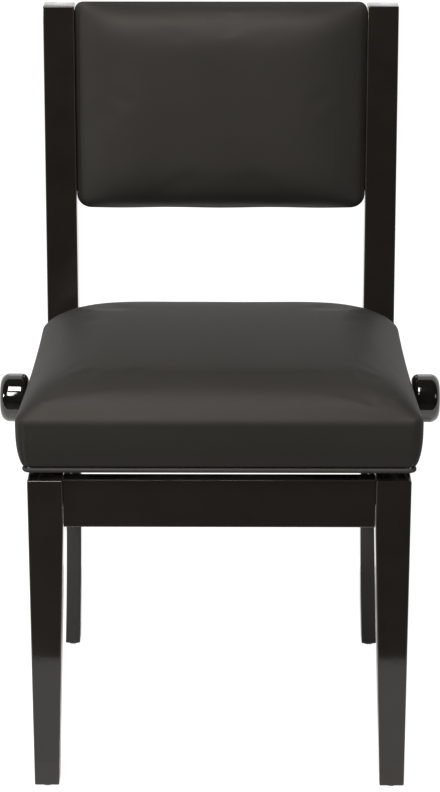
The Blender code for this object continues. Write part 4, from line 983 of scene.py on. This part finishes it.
PAD_SEAM_ROW, PAD_SEAM_DEPTH = 6, 0.0007
shape = coordinates(pad_cover.data)
seam_points = PAD_SEAM_ROW * columns + np.arange(columns)
inward = on_back((0.0, 0.0, 0.0)) - shape[seam_points]
shape[seam_points] += PAD_SEAM_DEPTH * inward / np.linalg.norm(inward, axis=1, keepdims=True)
pad_cover.data.vertices.foreach_set("co", shape.ravel())
subdivide(pad_cover)


# Wrapped board and back panel: the cover's margin is drawn round the plywood's edge and stapled, and a
# thinly padded panel of the same leatherette closes the back, hemmed with a row of stitches.
BACK_BOARD, BOARD_ROUND, BOARD_CORNER, LAYER_MARGIN = 0.009, 0.0015, 0.002, 0.001
PANEL, PANEL_ROUND, PANEL_PUFF, HEM_INSET, HEM_PROUD = 0.004, 0.0018, 0.003, 0.012, 0.0001
board_half = (BACK_HALF_X, BACK_HALF_Z - BOARD_INSET)


def layer_ring(inset, depth):
    """The board's outline drawn in by inset, at one depth."""
    plan = runs(board_half[0] - inset, board_half[1] - inset,
                np.maximum(PAD_CORNERS - inset, BOARD_CORNER), PAD_CORNER_ANGLE, PAD_STRAIGHT, PAD_CURVED)
    return at_level(plan, depth)


def layer_mesh(front, back, rounding, puff):
    """A flat layer with rounded edges between two depths, its back face puffed by (1 - u^8)(1 - v^8)."""
    turn = np.radians(np.linspace(0.0, 90.0, 5))
    rise, fall = rounding * (1 - np.cos(turn)), rounding * (1 - np.sin(turn))
    rings = [layer_ring(rounding + LAYER_MARGIN, front)]
    rings += [layer_ring(inset, front - step) for inset, step in zip(fall, rise)]
    rings += [layer_ring(inset, back + step) for inset, step in zip(rise, fall)]
    rings += [layer_ring(rounding + LAYER_MARGIN, back)]
    full = lambda share: 1 - np.abs(share) ** 8
    face = lambda x, up: back - puff * full(x / board_half[0]) * full(up / board_half[1])
    points, faces, _ = cushion_mesh(rings, pad_across, pad_along, face)
    return on_back(points), faces[:, ::-1]


points, faces = layer_mesh(0.0, -BACK_BOARD, BOARD_ROUND, 0.0)
piece("backrest_wrapped_board", points, faces, leatherette, "frame", "leatherette", "backrest_board")
points, faces = layer_mesh(-BACK_BOARD - FIT, -BACK_BOARD - FIT - PANEL, PANEL_ROUND, PANEL_PUFF)
panel = piece("backrest_back_panel", points, faces, leatherette, "frame", "leatherette",
              "backrest_back_cover")
hem = layer_ring(HEM_INSET, -BACK_BOARD - FIT - PANEL - HEM_PROUD)
points, faces = stitches(on_back(np.concatenate([hem, hem[:1]])),
                         (0.0, math.cos(BACK_ANGLE), -math.sin(BACK_ANGLE)))
piece("backrest_hem_stitches", points, faces, thread, "frame", "leatherette")


# Dowels: four short beech pins, glued into the posts and into the ends of the backrest's board, that
# hold the back between the posts.
dress(beech_x, *[f"backrest_dowel_{level}_{word}" for level in ("lower", "upper") for word, _ in SIDES])

low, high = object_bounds()
